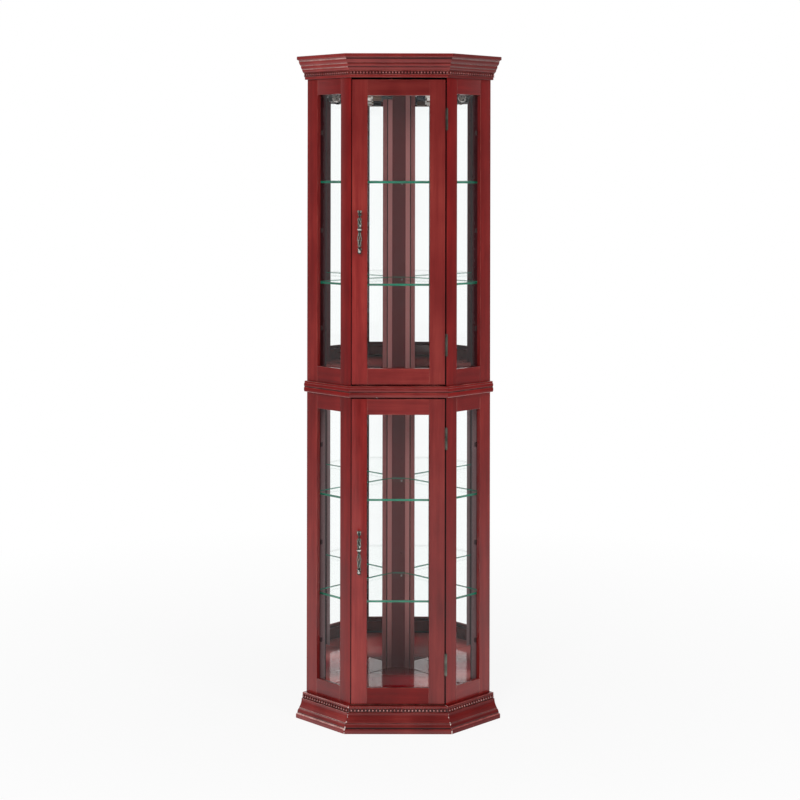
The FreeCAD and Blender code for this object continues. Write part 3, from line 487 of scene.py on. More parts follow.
# Bulbs: a faint painted glow, through emission.
FROSTED = lamp_glass("frosted_glass", rgb(128, 104, 88), rgb(238, 234, 228))
BULB_END = lamp_glass("bulb_end", rgb(52, 48, 47), rgb(128, 120, 114))
FOIL = crinkled_foil("crinkled_foil", rgb(150, 145, 142), rgb(240, 240, 240))

SLOT_FINISH = {
    "cherry_wood": FRAME_UPRIGHT, "painted_board": PAINTED, "clear_glass": PANE_GLASS,
    "shelf_glass": SHELF_GLASS, "silvered_mirror": MIRROR, "grey_plastic": CLIP_PLASTIC,
    "brown_plastic": BROWN_PLASTIC, "black_plastic": BLACK_PLASTIC, "hinge_metal": HINGE_METAL,
    "pewter": PEWTER, "steel": STEEL, "lamp_enamel": ENAMEL, "frosted_glass": FROSTED,
    "foil": FOIL}
BOARD_FINISH = {
    "left_inner_stile": FRAME_UPRIGHT, "right_inner_stile": FRAME_UPRIGHT,
    "left_outer_stile": OUTER_UPRIGHT, "right_outer_stile": OUTER_UPRIGHT,
    "left_side_rails": FRAME_LEFT, "right_side_rails": FRAME_RIGHT, "front_rails": CHERRY_ACROSS,
    "lower_door_stiles": DOOR_UPRIGHT, "upper_door_stiles": DOOR_UPRIGHT,
    "lower_door_rails": DOOR_ACROSS, "upper_door_rails": DOOR_ACROSS,
    "bottom_board": POLISHED_FLOOR, "middle_board": POLISHED_FLOOR,
    "ceiling_board": CHERRY_ACROSS, "top_board": CHERRY_ACROSS}

node_slot = {row["node"]: row["material_slot"] for row in frame["record"]["subparts"]}
for node, slot in node_slot.items():
    mesh = frame["nodes"][node].data
    mesh.materials.clear()
    mesh.materials.append(SIDE_CLIP if node == "side_pane_clips" else SLOT_FINISH[slot])


# ---- shaping ---------------------------------------------------------------------------------
def start(kind, **sizes):
    """Add a primitive with nothing else selected, and return it."""
    bpy.ops.object.select_all(action="DESELECT")
    getattr(bpy.ops.mesh, "primitive_" + kind + "_add")(**sizes)
    return bpy.context.object


def pick_up(*pieces):
    """Select just these pieces, the first of them active."""
    bpy.ops.object.select_all(action="DESELECT")
    for piece in pieces:
        piece.select_set(True)
    bpy.context.view_layer.objects.active = pieces[0]
    return pieces[0]


def open_mesh(piece=None):
    """Go into edit mode, on the piece if one is given."""
    if piece:
        pick_up(piece)
    bpy.ops.object.mode_set(mode="EDIT")
    bpy.ops.mesh.select_mode(type="VERT")


def close_mesh():
    bpy.ops.object.mode_set(mode="OBJECT")


def take_all():
    bpy.ops.mesh.select_all(action="SELECT")


def weld():
    """In edit mode, merge corners that lie together, and leave everything selected."""
    take_all()
    bpy.ops.mesh.remove_doubles(threshold=WELD)
    take_all()


def centre(face):
    return face.calc_center_median()


def choose(kind, wanted):
    """In edit mode, select just the edges or faces that are wanted."""
    bpy.ops.mesh.select_mode(type=kind)
    bpy.ops.mesh.select_all(action="DESELECT")
    mesh = bpy.context.object.data
    shape = bmesh.from_edit_mesh(mesh)
    for part in {"EDGE": shape.edges, "FACE": shape.faces}[kind]:
        if wanted(part):
            part.select_set(True)
    bmesh.update_edit_mesh(mesh)


def faced(piece, finish, wanted):
    """Give the faces that are wanted a finish of their own."""
    piece.data.materials.append(finish)
    open_mesh(piece)
    choose("FACE", wanted)
    piece.active_material_index = len(piece.data.materials) - 1
    bpy.ops.object.material_slot_assign()
    close_mesh()


def joined(*pieces):
    """Join the pieces into the first."""
    pick_up(*pieces)
    if len(pieces) > 1:
        bpy.ops.object.join()
    return pieces[0]


def placed_in_mesh(piece):
    """Write the piece's place, turn and scale into its mesh."""
    pick_up(piece)
    bpy.ops.object.transform_apply(location=True, rotation=True, scale=True)


def closed(piece):
    """Merge its seams and turn all its faces outwards."""
    open_mesh(piece)
    weld()
    bpy.ops.mesh.normals_make_consistent(inside=False)
    close_mesh()


def eased(piece, width, segments, angle, edge=None, groove=None):
    """Take the sharpness off its long outer edges, and bevel its inner corners in the groove
    finish: painted shade where one is given.
    """
    for outer, finish in ((True, edge), (False, groove)):
        if not (outer or groove):
            continue
        if finish:
            piece.data.materials.append(finish)
        open_mesh(piece)
        choose("EDGE", lambda line: line.is_manifold and line.is_convex == outer
               and line.calc_face_angle() > radians(angle) and line.calc_length() > LONG_LINE)
        bpy.ops.mesh.bevel(offset=width, segments=segments, affect="EDGES", clamp_overlap=True,
                           material=len(piece.data.materials) - 1 if finish else -1)
        close_mesh()


def mounted(piece, name, body, slot, *nodes, finish=None, smooth=38):
    """Name the finished piece, give it its finish, and mount it on its body."""
    placed_in_mesh(piece)
    bpy.ops.object.shade_smooth_by_angle(angle=radians(smooth))
    piece.name = name
    piece.data.name = name
    if finish and not piece.data.materials:
        piece.data.materials.append(finish)
    elif finish:
        piece.data.materials[0] = finish
    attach(piece, body)
    if nodes:
        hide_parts(*nodes)
    return piece


def copied(piece):
    pick_up(piece)
    bpy.ops.object.duplicate()
    return bpy.context.object


def mirrored(piece):
    """A copy of the piece on the other side of the middle."""
    twin = copied(piece)
    placed_in_mesh(twin)
    twin.scale.x = -1
    placed_in_mesh(twin)
    closed(twin)
    return twin


def node_copy(node):
    """The node's mesh as a piece of its own, its loose triangles merged into plain faces."""
    piece = bpy.data.objects.new(node + "_copy", frame["nodes"][node].data.copy())
    bpy.context.scene.collection.objects.link(piece)
    pick_up(piece)
    bpy.ops.mesh.customdata_custom_splitnormals_clear()
    open_mesh(piece)
    weld()
    bpy.ops.mesh.dissolve_limited(angle_limit=radians(0.5))
    close_mesh()
    return piece


def round_points(first, through, last, steps):
    """Points after the first along the round that runs through another to the last."""
    (ax, ay), (bx, by), (cx, cy) = first, through, last
    twice = 2 * (ax * (by - cy) + bx * (cy - ay) + cx * (ay - by))
    a, b, c = ax * ax + ay * ay, bx * bx + by * by, cx * cx + cy * cy
    x = (a * (by - cy) + b * (cy - ay) + c * (ay - by)) / twice
    y = (a * (cx - bx) + b * (ax - cx) + c * (bx - ax)) / twice
    radius = hypot(ax - x, ay - y)
    begin, end = atan2(ay - y, ax - x), atan2(cy - y, cx - x)
    sweep = (end - begin + pi) % (2 * pi) - pi
    angles = [begin + sweep * k / steps for k in range(1, steps + 1)]
    return [(x + radius * cos(angle), y + radius * sin(angle)) for angle in angles]


def outline(steps, smoothness=6):
    """Steps of (a, b), or of two pairs where a round runs through the first to the second."""
    points = [steps[0]]
    for step in steps[1:]:
        if isinstance(step[0], tuple):
            points += round_points(points[-1], step[0], step[1], smoothness)
        else:
            points.append(step)
    return points


def drawn(points):
    """A line of vertices drawn through points, in edit mode."""
    start("plane", size=MM, location=points[0])
    open_mesh()
    bpy.ops.mesh.merge(type="CENTER")
    for here, there in zip(points, points[1:]):
        bpy.ops.mesh.extrude_vertices_move(TRANSFORM_OT_translate={"value": there - here})
    return bpy.context.object


def bar(points, run):
    """A solid bar: a closed outline drawn through given points and pulled out along its run."""
    piece = drawn(points + points[:1])
    weld()
    bpy.ops.mesh.edge_face_add()
    bpy.ops.mesh.extrude_region_move(TRANSFORM_OT_translate={"value": run})
    close_mesh()
    return piece


def scored(piece, at, across, **settings):
    """Cut the piece's faces along a plane; both sides stay unless a setting drops one."""
    open_mesh(piece)
    take_all()
    bpy.ops.mesh.bisect(plane_co=at, plane_no=across, **settings)
    close_mesh()


def cut_off(piece, at, away):
    """Saw the piece at a plane and drop what lies on the away side."""
    scored(piece, at, away, use_fill=True, clear_outer=True)


def turned(profile, foot, steps, axis=UP):
    """A lathe-turned piece from (radius, height) steps in millimetres, on a foot point."""
    side = Vector((1, 0, 0)) if abs(axis.x) < 0.5 else Vector((0, 1, 0))
    piece = drawn([foot + side * radius * MM + axis * height * MM
                   for radius, height in outline(profile, 5)])
    take_all()
    bpy.ops.mesh.spin(steps=steps, angle=2 * pi, center=foot, axis=axis)
    close_mesh()
    placed_in_mesh(piece)
    closed(piece)
    return piece


# ---- mouldings -------------------------------------------------------------------------------
CROWN_STEPS = [
    (0.2, 0), (9.2, 0), (10, 0.8), (10, 7), (11.5, 7), (11.5, 18), (14.5, 18), (14.5, 19),
    (15.5, 19), ((19.4, 23.4), (20.8, 28.4)), (22.2, 28.8), ((24.3, 32.4), (25, 38)), (26.5, 38.4),
    ((30.8, 43.6), (32.6, 50.2)), ((34.8, 52.6), (39, 53.6)), (40, 54.6), (40, 62.4), (39.4, 63),
    (0.2, 63)]
BASE_STEPS = [
    (0.2, 0), (38.6, 0), ((39.2, 5.5), (38.6, 11)), ((38, 12.4), (36.3, 13)), (33.8, 14),
    ((32.6, 20), (28.6, 24.6)), (27.4, 24.8), (27.4, 26.6), ((21.4, 35.4), (18, 47)), (18, 50.4),
    (13.2, 50.8), (13.2, 61.8), (14.2, 61.8), (14.2, 65.9), (13.6, 66.5), (0.2, 66.5)]
WAIST_STEPS = [
    (0.2, 0), (9.6, 0), (10.2, 0.8), ((11.6, 7.2), (10.6, 12.9)), (9.6, 13.2), (9.6, 15),
    (10.2, 15.2), ((11.4, 19.8), (10, 24.6)), (9.2, 25), (9.2, 29.4), (8.6, 30), (0.2, 30)]
BEAD_SEAT = {"crown": 11.5, "base": 13.2}
BEAD_HEIGHT = {"crown": CROWN_BOTTOM / MM + 12.5, "base": 56.3}
BEAD_PITCH = {"crown": 8.65, "base": 9.7}


def moulding_lengths(steps, height, finishes, worn=None, nose=SOFT_EDGE,
                     noses=(EDGE_SHEEN, EDGE_SHEEN), highlit_grooves_above=None):
    """The front, right and left lengths of a moulding, mitred at the corners.

    The side lengths' outer edges are eased by nose and take the noses' finishes; their inner
    corners take a painted highlight instead of painted shade above the height
    highlit_grooves_above, and then their bottom undersides take painted shade.
    """
    shape = outline(steps)
    spare = 90 * MM
    towards_side = (RIGHT_ALONG + FRONT_ALONG).normalized()
    lengths = []
    for begin, along, out, run in ((FRONT_START, FRONT_ALONG, FRONT_OUT, 2 * HALF_FRONT),
                                   (RIGHT_START, RIGHT_ALONG, RIGHT_OUT, SIDE_WIDTH)):
        points = [begin - along * spare + out * (o * MM) + UP * ((height + u) * MM)
                  for o, u in shape]
        lengths.append(bar(points, along * (run + 2 * spare)))
    front, right = lengths
    cut_off(front, RIGHT_START - towards_side * MITRE_GAP, towards_side)
    cut_off(front, FRONT_START + Vector((towards_side.x, -towards_side.y, 0)) * MITRE_GAP,
            Vector((-towards_side.x, towards_side.y, 0)))
    cut_off(right, RIGHT_START + towards_side * MITRE_GAP, -towards_side)
    cut_off(right, RIGHT_START + RIGHT_ALONG * SIDE_WIDTH, RIGHT_ALONG)
    for length, finish in zip((front, right), finishes):
        placed_in_mesh(length)
        closed(length)
        length.data.materials.append(finish)
        grooved(length)
        if length == front:
            # Painted shade on the front length's undersides, and painted sheen on its eased edges.
            faced(length, SHADE_GLAZE, lambda face: face.normal.z < -0.8
                  and centre(face).z > FOOT_ROUND_TOP[0])
            eased(length, SOFT_EDGE, 2, 25, EDGE_SHEEN)
        else:
            # On the base's left side this is a painted highlight on the foot's rounded top.
            faced(length, noses[0], lambda face: face.normal.z > 0.25
                  and FOOT_ROUND_TOP[0] < centre(face).z < FOOT_ROUND_TOP[1])
            if highlit_grooves_above:
                # Painted highlight in the grooves above that height; painted shadow under the
                # bottom edge.
                faced(length, GROOVE_HIGHLIGHT_RIGHT, lambda face: in_groove(face)
                      and centre(face).z > highlit_grooves_above)
                faced(length, GAP_SHADE, lambda face: face.normal.z < -0.8
                      and centre(face).z < height * MM + MM)
            eased(length, nose, 2, 25, noses[0])
        if worn:
            rubbed_mitre(length, worn)
    left = mirrored(right)
    turned_over = {finishes[1]: finishes[2], noses[0]: noses[1], GROOVE_HIGHLIGHT_RIGHT: GROOVE_HIGHLIGHT_LEFT}
    for slot, finish in enumerate(left.data.materials):
        left.data.materials[slot] = turned_over.get(finish, finish)
    return front, right, left


def in_corner(line):
    """Whether a line runs along an inner corner."""
    return (line.is_manifold and not line.is_convex and line.calc_face_angle() > radians(25)
            and line.calc_length() > LONG_LINE)


def in_groove(face):
    """Whether a face is a narrow one beside an inner corner."""
    heights = [corner.co.z for corner in face.verts]
    return max(heights) - min(heights) < 2.3 * MM and any(in_corner(line) for line in face.edges)


def grooved(length):
    """Paint shade, in dark glaze, into the moulding's inner corners."""
    faced(length, SHADE_GLAZE, in_groove)


def rubbed_mitre(length, finish):
    """Rub through the stain beside the mitres."""
    reach = 1.1 * MM
    across = (RIGHT_ALONG + FRONT_ALONG).normalized()

    def away(spot):
        return (abs(spot.x) - HALF_FRONT) * across.x + (spot.y - DOOR_PLANE) * across.y

    for side in (1, -1):
        face_way = Vector((across.x * side, across.y, 0))
        corner = Vector((HALF_FRONT * side, DOOR_PLANE, 0))
        for shift in (-reach, reach):
            scored(length, corner + face_way * shift, face_way)
    faced(length, finish, lambda face: abs(away(centre(face))) < reach)


def bead_run(begin, along, out, run, where):
    """A row of beads, half sunk in their strip, which runs past the corners it meets."""
    seat, height, pitch = BEAD_SEAT[where], BEAD_HEIGHT[where], BEAD_PITCH[where] * MM
    reach = (seat + 2.2) * MM
    past = reach * MITRE
    room = run + past * (2 if along == FRONT_ALONG else 1)
    count = int(room / pitch)
    first = begin + out * reach + UP * (height * MM)
    first += along * ((room - (count - 1) * pitch) / 2 - past)
    bead = start("uv_sphere", segments=12, ring_count=8, radius=3.5 * MM, location=first)
    bead.scale = (0.98, 0.98, 1.02)
    placed_in_mesh(bead)
    bead.data.materials.append(BEAD)
    # Painted glints on the faces turned toward the viewer.
    towards = (out + FRONT_OUT).normalized()
    faced(bead, BEAD_GLINTS[where], lambda face: face.normal.dot(towards) > 0.8
          and face.normal.z > -0.3)
    row = bead.modifiers.new("row", "ARRAY")
    row.count = count
    row.use_relative_offset = False
    row.use_constant_offset = True
    row.constant_offset_displace = along * pitch
    bpy.ops.object.modifier_apply(modifier=row.name)
    return bead


def bead_strip(where):
    """A strip of turned beads let into a moulding, along the front and both sides."""
    seat, height = BEAD_SEAT[where], BEAD_HEIGHT[where]
    back, face, half = seat + 0.2, seat + 1.0, 5.3
    flat = [(back, -half), (face + 1.0, -half), (face + 1.0, -half + 1.0), (face, -half + 1.3),
            (face, half - 1.3), (face + 1.0, half - 1.0), (face + 1.0, half), (back, half)]
    # The strip behind the beads in dark glaze: painted shade between them.
    front, right, left = moulding_lengths(flat, height, (SHADE_GLAZE, SHADE_GLAZE, SHADE_GLAZE))
    front_beads = bead_run(FRONT_START, FRONT_ALONG, FRONT_OUT, 2 * HALF_FRONT, where)
    right_beads = bead_run(RIGHT_START, RIGHT_ALONG, RIGHT_OUT, SIDE_WIDTH, where)
    left_beads = mirrored(right_beads)
    return joined(front, right, left, front_beads, right_beads, left_beads)


def mount_lengths(name, lengths):
    mounted(joined(*lengths), name + "_lengths", "cabinet", "cherry_wood", name + "_moulding",
            smooth=24)


def make_mouldings():
    """The crown, the waist and the base round the front and sides, and their rows of beads."""
    crown = moulding_lengths(CROWN_STEPS, CROWN_BOTTOM / MM,
                             (CHERRY_ACROSS, CHERRY_RIGHT_SHADED, CHERRY_LEFT_LIT),
                             noses=(CHERRY_RIGHT_SHADED, CHERRY_LEFT_LIT), highlit_grooves_above=CROWN_BOTTOM + 25 * MM)
    mount_lengths("crown", crown)
    waist = moulding_lengths(WAIST_STEPS, WAIST_BOTTOM / MM,
                             (CHERRY_ACROSS, WAIST_RIGHT, WAIST_LEFT), noses=(EDGE_MOTTLE, EDGE_MOTTLE))
    # Painted highlight along the waist sides' lower edge.
    for length in waist[1:]:
        faced(length, PALE_EDGE_HIGHLIGHT, lambda face: centre(face).z < WAIST_BOTTOM + 1.5 * MM
              and face.normal.y < -0.1)
    mount_lengths("waist", waist)
    base = moulding_lengths(BASE_STEPS, 0.0, (BASE_ACROSS, BASE_RIGHT_SHADED, BASE_LEFT_LIT),
                            WORN_MITRE, 2 * SOFT_EDGE, (EDGE_SHEEN, PALE_EDGE_HIGHLIGHT))
    mount_lengths("base", base)
    for where in ("crown", "base"):
        mounted(bead_strip(where), where + "_beads", "cabinet", "cherry_wood",
                where + "_bead_strip", smooth=50)


# ---- boards ----------------------------------------------------------------------------------
def looks_in(face):
    """Whether a board's face is turned to the inside of the cabinet."""
    spot = centre(face)
    inwards = Vector((-spot.x, 20 * MM - spot.y, 0)).normalized()
    return face.normal.dot(inwards) > 0.6 and face.normal.y > 0.1 and face.calc_area() > 0.002


def make_boards():
    """Every board again with its edges eased, as a router leaves them."""
    for node, finish in BOARD_FINISH.items():
        board = node_copy(node)
        beside_gap = node.endswith(("door_stiles", "inner_stile"))
        if beside_gap:
            # Painted shade on the faces beside the door gaps.
            faced(board, GAP_SHADE, lambda face: abs(face.normal.x) > 0.95)
        if node.endswith("door_stiles"):
            faced(board, DOOR_HINGE_UPRIGHT, lambda face: face.normal.y < -0.9
                  and centre(face).x > 0)
        # Painted shade on the upper door's top rail, under the crown.
        if node == "upper_door_rails":
            faced(board, DOOR_TOP_RAIL_SHADE, lambda face: centre(face).z > TOP_RAIL_SHADE_ABOVE)
        if node == "lower_door_rails":
            faced(board, DOOR_LOW_RAIL, lambda face: centre(face).z < LOW_RAIL_BELOW)
        if not node.endswith("board"):
            # Painted light on faces turned into the cabinet.
            faced(board, INSIDE_PAINTED_LIGHT, looks_in)
        # Eased edges: painted shade beside the door gaps and in inner corners.
        eased(board, 0.6 * MM, 2, 30, GAP_SHADE if beside_gap else EDGE_MOTTLE, SHADE_GLAZE)
        body = next((door for door in DOORS if node.startswith(door)), "cabinet")
        mounted(board, node + "_eased", body, node_slot[node], node, finish=finish, smooth=20)


# ---- pulls -----------------------------------------------------------------------------------
def strand(foot, low, high, waist, belly, turn, twist):
    """One twisted strand of the pull's open body, from a small ring pulled along its way."""
    steps = 12

    def way(k):
        share = k / steps
        radius = waist + (belly - waist) * sin(pi * share)
        angle = turn + twist * share
        return foot + Vector((radius * cos(angle), radius * sin(angle),
                              low + (high - low) * share)) * MM
    start("circle", vertices=7, radius=1.25 * MM, fill_type="NGON", location=way(0))
    open_mesh()
    take_all()
    for k in range(steps):
        bpy.ops.mesh.extrude_region_move(
            TRANSFORM_OT_translate={"value": way(k + 1) - way(k)})
    close_mesh()
    piece = bpy.context.object
    placed_in_mesh(piece)
    return piece


def ball(at, radius, squeeze):
    piece = start("uv_sphere", segments=14, ring_count=9, radius=radius * MM, location=at)
    piece.scale = squeeze
    placed_in_mesh(piece)
    return piece


def cast_pull(foot, door_face):
    """An old-style cast pull: finial, scroll leaf, collar, open twisted body and an end ball."""
    core = [(0.05, 0.2), ((3.8, 1.6), (5.2, 6.2)), ((4, 10.2), (2.3, 11.6)), (3.9, 13.6),
            (4.3, 15.6), (2.9, 18), (2, 22), (1.7, 40), (2, 55), (3.2, 58), ((4.3, 62), (4.9, 66)),
            (5.4, 66.4), ((5.9, 68.2), (5.4, 70)), (4.2, 70.6), (3.1, 74), ((3.9, 82), (3.2, 91)),
            (2.4, 97), (2, 102), (2.5, 105), ((3.6, 111), (2.2, 116.5)), (0.05, 118)]
    body = turned(core, foot, 18)
    body.data.materials.append(OLD_PEWTER)
    parts = []
    for k in range(4):
        parts.append(strand(foot, 20, 58, 2.9, 4.9, k * pi / 2, radians(150)))
        parts.append(strand(foot, 72, 99, 2.9, 4.7, k * pi / 2 + 0.5, radians(-140)))
    for side in (-1, 1):
        across = Vector((side, 0, 0))
        parts.append(ball(foot + (across * 3.3 + UP * 115.5 - Vector((0, 1, 0))) * MM, 2.7,
                          (1, 1, 1.3)))
        parts.append(ball(foot + (across * 4.6 + UP * 94) * MM, 1.6, (1, 1, 1.2)))
        parts.append(ball(foot + (across * 4.9 + UP * 43) * MM, 1.5, (1, 1, 1.3)))
        parts.append(ball(foot + (across * 3.6 + UP * 15.5) * MM, 1.9, (1, 1, 1.1)))
    collar = [(3.4, 64.6), (5.6, 64.9), ((6.1, 67.2), (5.6, 69.5)), (3.4, 69.8)]
    rubbed = [turned(collar + collar[:1], foot, 18),
              ball(foot + (UP * 7 - Vector((0, 2.2, 0))) * MM, 3.9, (1, 1, 1.05)),
              ball(foot + (UP * 13 - Vector((1.5, 2, 0))) * MM, 2.2, (1, 1, 1.3)),
              ball(foot + (UP * 77 + Vector((1.6, -2.6, 0))) * MM, 2.0, (1, 1, 1.5))]
    reach = (door_face - foot.y) / MM
    for height in (11.0, 107.0):
        post = [(0.05, -1), (2.4, -0.5), (2.2, reach - 4), (2.6, reach - 2.6), (4.8, reach - 2),
                (5.2, reach - 0.8), (5.2, reach), (0.05, reach)]
        parts.append(turned(post, foot + UP * height * MM, 16, Vector((0, 1, 0))))
    for part in parts:
        part.data.materials.append(PEWTER)
    for part in rubbed:
        part.data.materials.append(RUBBED_PEWTER)
    return joined(body, *parts, *rubbed)


def make_pulls():
    """A cast pull on each door, on the face of its stile."""
    for door in DOORS:
        low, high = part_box(door + "_pull")
        foot = Vector(((low.x + high.x) / 2, low.y + PULL_HALF_DEPTH, low.z + MM))
        pull = cast_pull(foot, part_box(door + "_stiles")[0].y)
        mounted(pull, door + "_cast_pull", door, "pewter", door + "_pull", smooth=50)


# ---- mirrors ---------------------------------------------------------------------------------
def make_mirrors():
    """The mirrors, their outer ends sprung a little forward by their clips."""
    for storey in ("lower", "upper"):
        for side, sign in (("left", 1), ("right", -1)):
            node = f"{storey}_{side}_mirror"
            mirror = node_copy(node)
            middle = (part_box(node)[0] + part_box(node)[1]) / 2
            turn = radians(MIRROR_TOE) * sign
            mirror.rotation_euler.z = turn
            mirror.location = middle - Matrix.Rotation(turn, 3, "Z") @ middle
            placed_in_mesh(mirror)
            faced(mirror, MIRROR_EDGE, lambda face: face.calc_area() < 0.01)
            eased(mirror, 0.8 * MM, 1, 30, MIRROR_EDGE)
            mounted(mirror, node + "_plate", "cabinet", "silvered_mirror", node, finish=MIRROR)


def make_backs():
    """The thin backs, their inner faces in a finish apart from their outer ones, with painted
    light.
    """
    for side in ("left", "right"):
        node = side + "_back_panel"
        panel = node_copy(node)
        # Painted light on the inner faces.
        faced(panel, PANEL_INSIDE_LIT, lambda face: face.normal.y < -0.6 and face.calc_area() > 0.1)
        mounted(panel, node + "_painted", "cabinet", "painted_board", node, finish=PAINTED)


# ---- post, shelves and door stops -------------------------------------------------------------
def make_post():
    """The rear post: painted shade on its face, painted light on its legs, painted shadow on their
    ends.
    """
    post = node_copy("rear_corner_post")
    faced(post, POST_LEG_LIT, lambda face: face.normal.y < -0.5 and abs(face.normal.x) > 0.5
          and face.calc_area() > 0.02)
    faced(post, POST_END_SHADE, lambda face: face.normal.y < -0.5 and abs(face.normal.x) > 0.5
          and face.calc_area() <= 0.02)
    mounted(post, "rear_post", "cabinet", "painted_board", "rear_corner_post", finish=POST_FACE_SHADE,
            smooth=30)


def make_shelves():
    """Plate glass shelves with flat polished edges, green along the top of their rear ones."""
    for number in range(1, 5):
        node = f"shelf_{number}"
        shelf = node_copy(node)
        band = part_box(node)[1] - UP * SHELF_GREEN
        scored(shelf, band, UP)
        # The edges' finishes carry a painted glow.
        faced(shelf, SHELF_EDGE, lambda face: abs(face.normal.z) < 0.5 and face.normal.y < -0.5)
        faced(shelf, SHELF_REAR, lambda face: abs(face.normal.z) < 0.5 and face.normal.y > -0.5
              and centre(face).z > band.z)
        mounted(shelf, f"glass_shelf_{number}", "cabinet", "shelf_glass", node, finish=SHELF_GLASS,
                smooth=20)


def make_door_stops():
    """Thin strips behind the doors' edges, which close the gaps beside them, dark as painted shade
    in the gaps.
    """
    door_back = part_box("lower_door_stiles")[1].y
    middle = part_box("middle_board")
    spans = ((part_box("bottom_board")[1].z, middle[0].z),
             (middle[1].z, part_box("ceiling_board")[0].z))
    near, far = door_back + 0.8 * MM, door_back + 5.0 * MM
    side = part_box("right_inner_stile")[0].x
    edge, seat = side - 7 * MM, side - 0.05 * MM
    strips = []
    for foot, head in spans:
        section = [(seat, near), (edge + MM, near), (edge, near + MM), (edge, far), (seat, far)]
        points = [Vector((x, y, foot + STOP_GAP)) for x, y in section]
        strips.append(bar(points, UP * (head - foot - 2 * STOP_GAP)))
    right = joined(*strips)
    closed(right)
    left = mirrored(right)
    reach = edge - 2 * STOP_GAP
    whole = [(-reach, reach)]
    catch_low, catch_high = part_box("door_catches")
    beside_catches = [(-reach, catch_low.x - 2 * MM), (catch_high.x + 2 * MM, reach)]
    levels = []
    for foot, head, runs in ((spans[0][0], spans[0][0] + 5 * MM, whole),
                             (spans[0][1] - 24 * MM, spans[0][1], beside_catches),
                             (spans[1][0], spans[1][0] + 7 * MM, whole)):
        foot, head = foot + STOP_GAP, head - STOP_GAP
        for begin, end in runs:
            section = [(foot, near), (head, near), (head, far), (foot, far)]
            points = [Vector((begin, y, height)) for height, y in section]
            levels.append(bar(points, Vector((end - begin, 0, 0))))
    stops = joined(right, left, *levels)
    closed(stops)
    # Dark glaze: painted shade in the door gaps.
    stops.data.materials.append(SHADE_GLAZE)
    eased(stops, 0.4 * MM, 1, 30)
    mounted(stops, "door_stops", "cabinet", "cherry_wood")


def make_lamp():
    """The lamp under the ceiling: a slim housing with a deeper end, and a bulb at each end."""
    low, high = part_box("lamp_box")
    lift, reach = high.z - 9.5 * MM, low.x + 31 * MM
    section = [(low.x, high.z), (low.x, low.z), (reach, low.z), (reach, lift - 3 * MM),
               (reach + 3 * MM, lift), (high.x, lift), (high.x, high.z)]
    housing = bar([Vector((x, low.y, z)) for x, z in section], Vector((0, high.y - low.y, 0)))
    closed(housing)
    housing.data.materials.append(ENAMEL)
    faced(housing, BLACK_PLASTIC, lambda face: face.normal.z < -0.9
          and centre(face).z < lift - 4 * MM)
    eased(housing, 0.8 * MM, 2, 30)
    mounted(housing, "lamp_housing", "cabinet", "lamp_enamel", "lamp_box")
    holders = node_copy("lamp_holders")
    faced(holders, NAVY_PLASTIC, lambda face: centre(face).x > 0)
    eased(holders, 1.0 * MM, 2, 60)
    mounted(holders, "bulb_holders", "cabinet", "brown_plastic", "lamp_holders",
            finish=BROWN_PLASTIC)
    bulbs = node_copy("lamp_bulbs")
    faced(bulbs, BULB_END, lambda face: abs(face.normal.x) > 0.3)
    mounted(bulbs, "showcase_bulbs", "cabinet", "frosted_glass", "lamp_bulbs", finish=FROSTED)


# ---- room, lamps and camera ------------------------------------------------------------------
def light_path(finish, which):
    """1 for rays of the kind asked for, and 0 for the others."""
    return finish.node("ShaderNodeLightPath", output=f"Is {which} Ray")


def white_where_seen(finish):
    """1 for rays from the camera and for those seen in sharp gloss and through glass."""
    seen = light_path(finish, "Camera").larger(light_path(finish, "Singular"))
    return seen.larger(light_path(finish, "Transmission"))


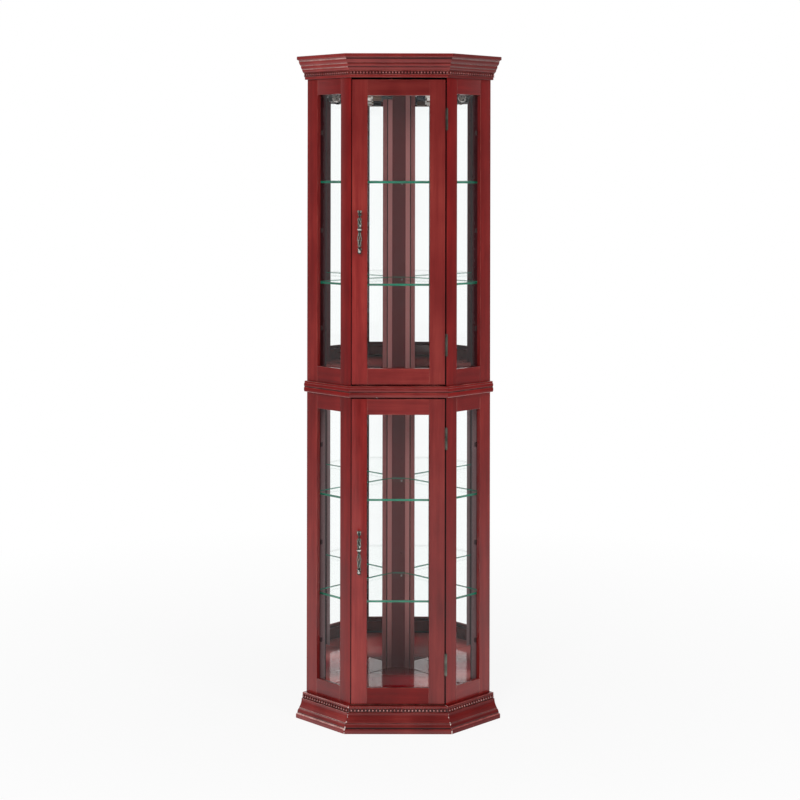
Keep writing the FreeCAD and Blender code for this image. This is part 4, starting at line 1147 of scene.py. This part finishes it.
def make_room():
    """A white studio that looks darker in gloss towards the back, and its pale floor."""
    world = bpy.data.worlds.new("studio")
    bpy.context.scene.world = world
    f = Finish(world)
    seen = white_where_seen(f)
    glossy = light_path(f, "Glossy")
    towards = f.node("ShaderNodeTexCoord", output="Generated")
    ahead = f.parts(towards)[1]
    backdrop = f.fade(ahead, 0.03, 0.3, 0.12)
    soft = glossy * backdrop + (1 - glossy) * 0.25
    sky = f.node("ShaderNodeBackground", None, WHITE, seen + (1 - seen) * soft)
    f.done(sky, "ShaderNodeOutputWorld")
    floor = start("plane", size=30, location=(0, 0, 0))
    floor.name = "floor"
    f = new_finish("pale_floor")
    lit = shader(f, Base_Color=(0.8, 0.8, 0.8, 1), Roughness=0.9)
    glow = f.node("ShaderNodeEmission", None, WHITE, 1.0)
    far = f.node("ShaderNodeVectorMath", {"operation": "LENGTH"},
                 f.node("ShaderNodeTexCoord", output="Object"), output="Value")
    shown = white_where_seen(f) * f.fade(far, 0.5, 2.5, 0.9)
    glossed = light_path(f, "Glossy") * f.fade(far, 1.4, 3.6, 1.0, 0.12)
    share = shown.larger(glossed)
    floor.data.materials.append(f.done(f.node("ShaderNodeMixShader", None, share, lit, glow)))


def lamp(name, place, aim, size, watts, glossy=True):
    """A rectangular lamp of the room, turned to its aim."""
    light = bpy.data.lights.new(name, "AREA")
    light.shape = "RECTANGLE"
    light.size, light.size_y = size
    light.energy = watts
    holder = bpy.data.objects.new(name, light)
    bpy.context.scene.collection.objects.link(holder)
    holder.location = place
    holder.rotation_euler = (Vector(aim) - Vector(place)).to_track_quat("-Z", "Y").to_euler()
    holder.visible_glossy = glossy


def make_lamps():
    """A key lamp at the left, and fills that keep the other faces from going dark."""
    lamp("key", (-1.0, -3.8, 2.6), (0, 0, 0.9), (1.3, 1.3), 92, False)
    lamp("top", (0, -1.3, 3.6), (0, 0, 0.6), (1.4, 0.8), 8)
    lamp("fill", (2.8, -3.0, 1.7), (0, 0, 0.9), (1.2, 1.8), 66, False)
    lamp("low_fill", (-2.8, -2.8, 0.5), (0, 0, 1.2), (2.0, 0.8), 34, False)


def make_camera():
    """A level camera at eye height, its frame shifted down to take in the whole piece."""
    data = bpy.data.cameras.new("camera")
    data.sensor_width = 36
    data.lens = data.sensor_width * LENS_LENGTH / PICTURE_SIDE
    data.shift_y = -(PICTURE_SIDE / 2 - HORIZON_ROW) / PICTURE_SIDE
    camera = bpy.data.objects.new("camera", data)
    bpy.context.scene.collection.objects.link(camera)
    camera.location = CAMERA_PLACE
    camera.rotation_euler = (radians(90), CAMERA_ROLL, 0)
    bpy.context.scene.camera = camera


make_mouldings()
make_boards()
make_pulls()
make_mirrors()
make_backs()
make_post()
make_shelves()
make_door_stops()
make_lamp()
make_room()
make_lamps()
make_camera()
bpy.context.scene.view_settings.view_transform = "Standard"
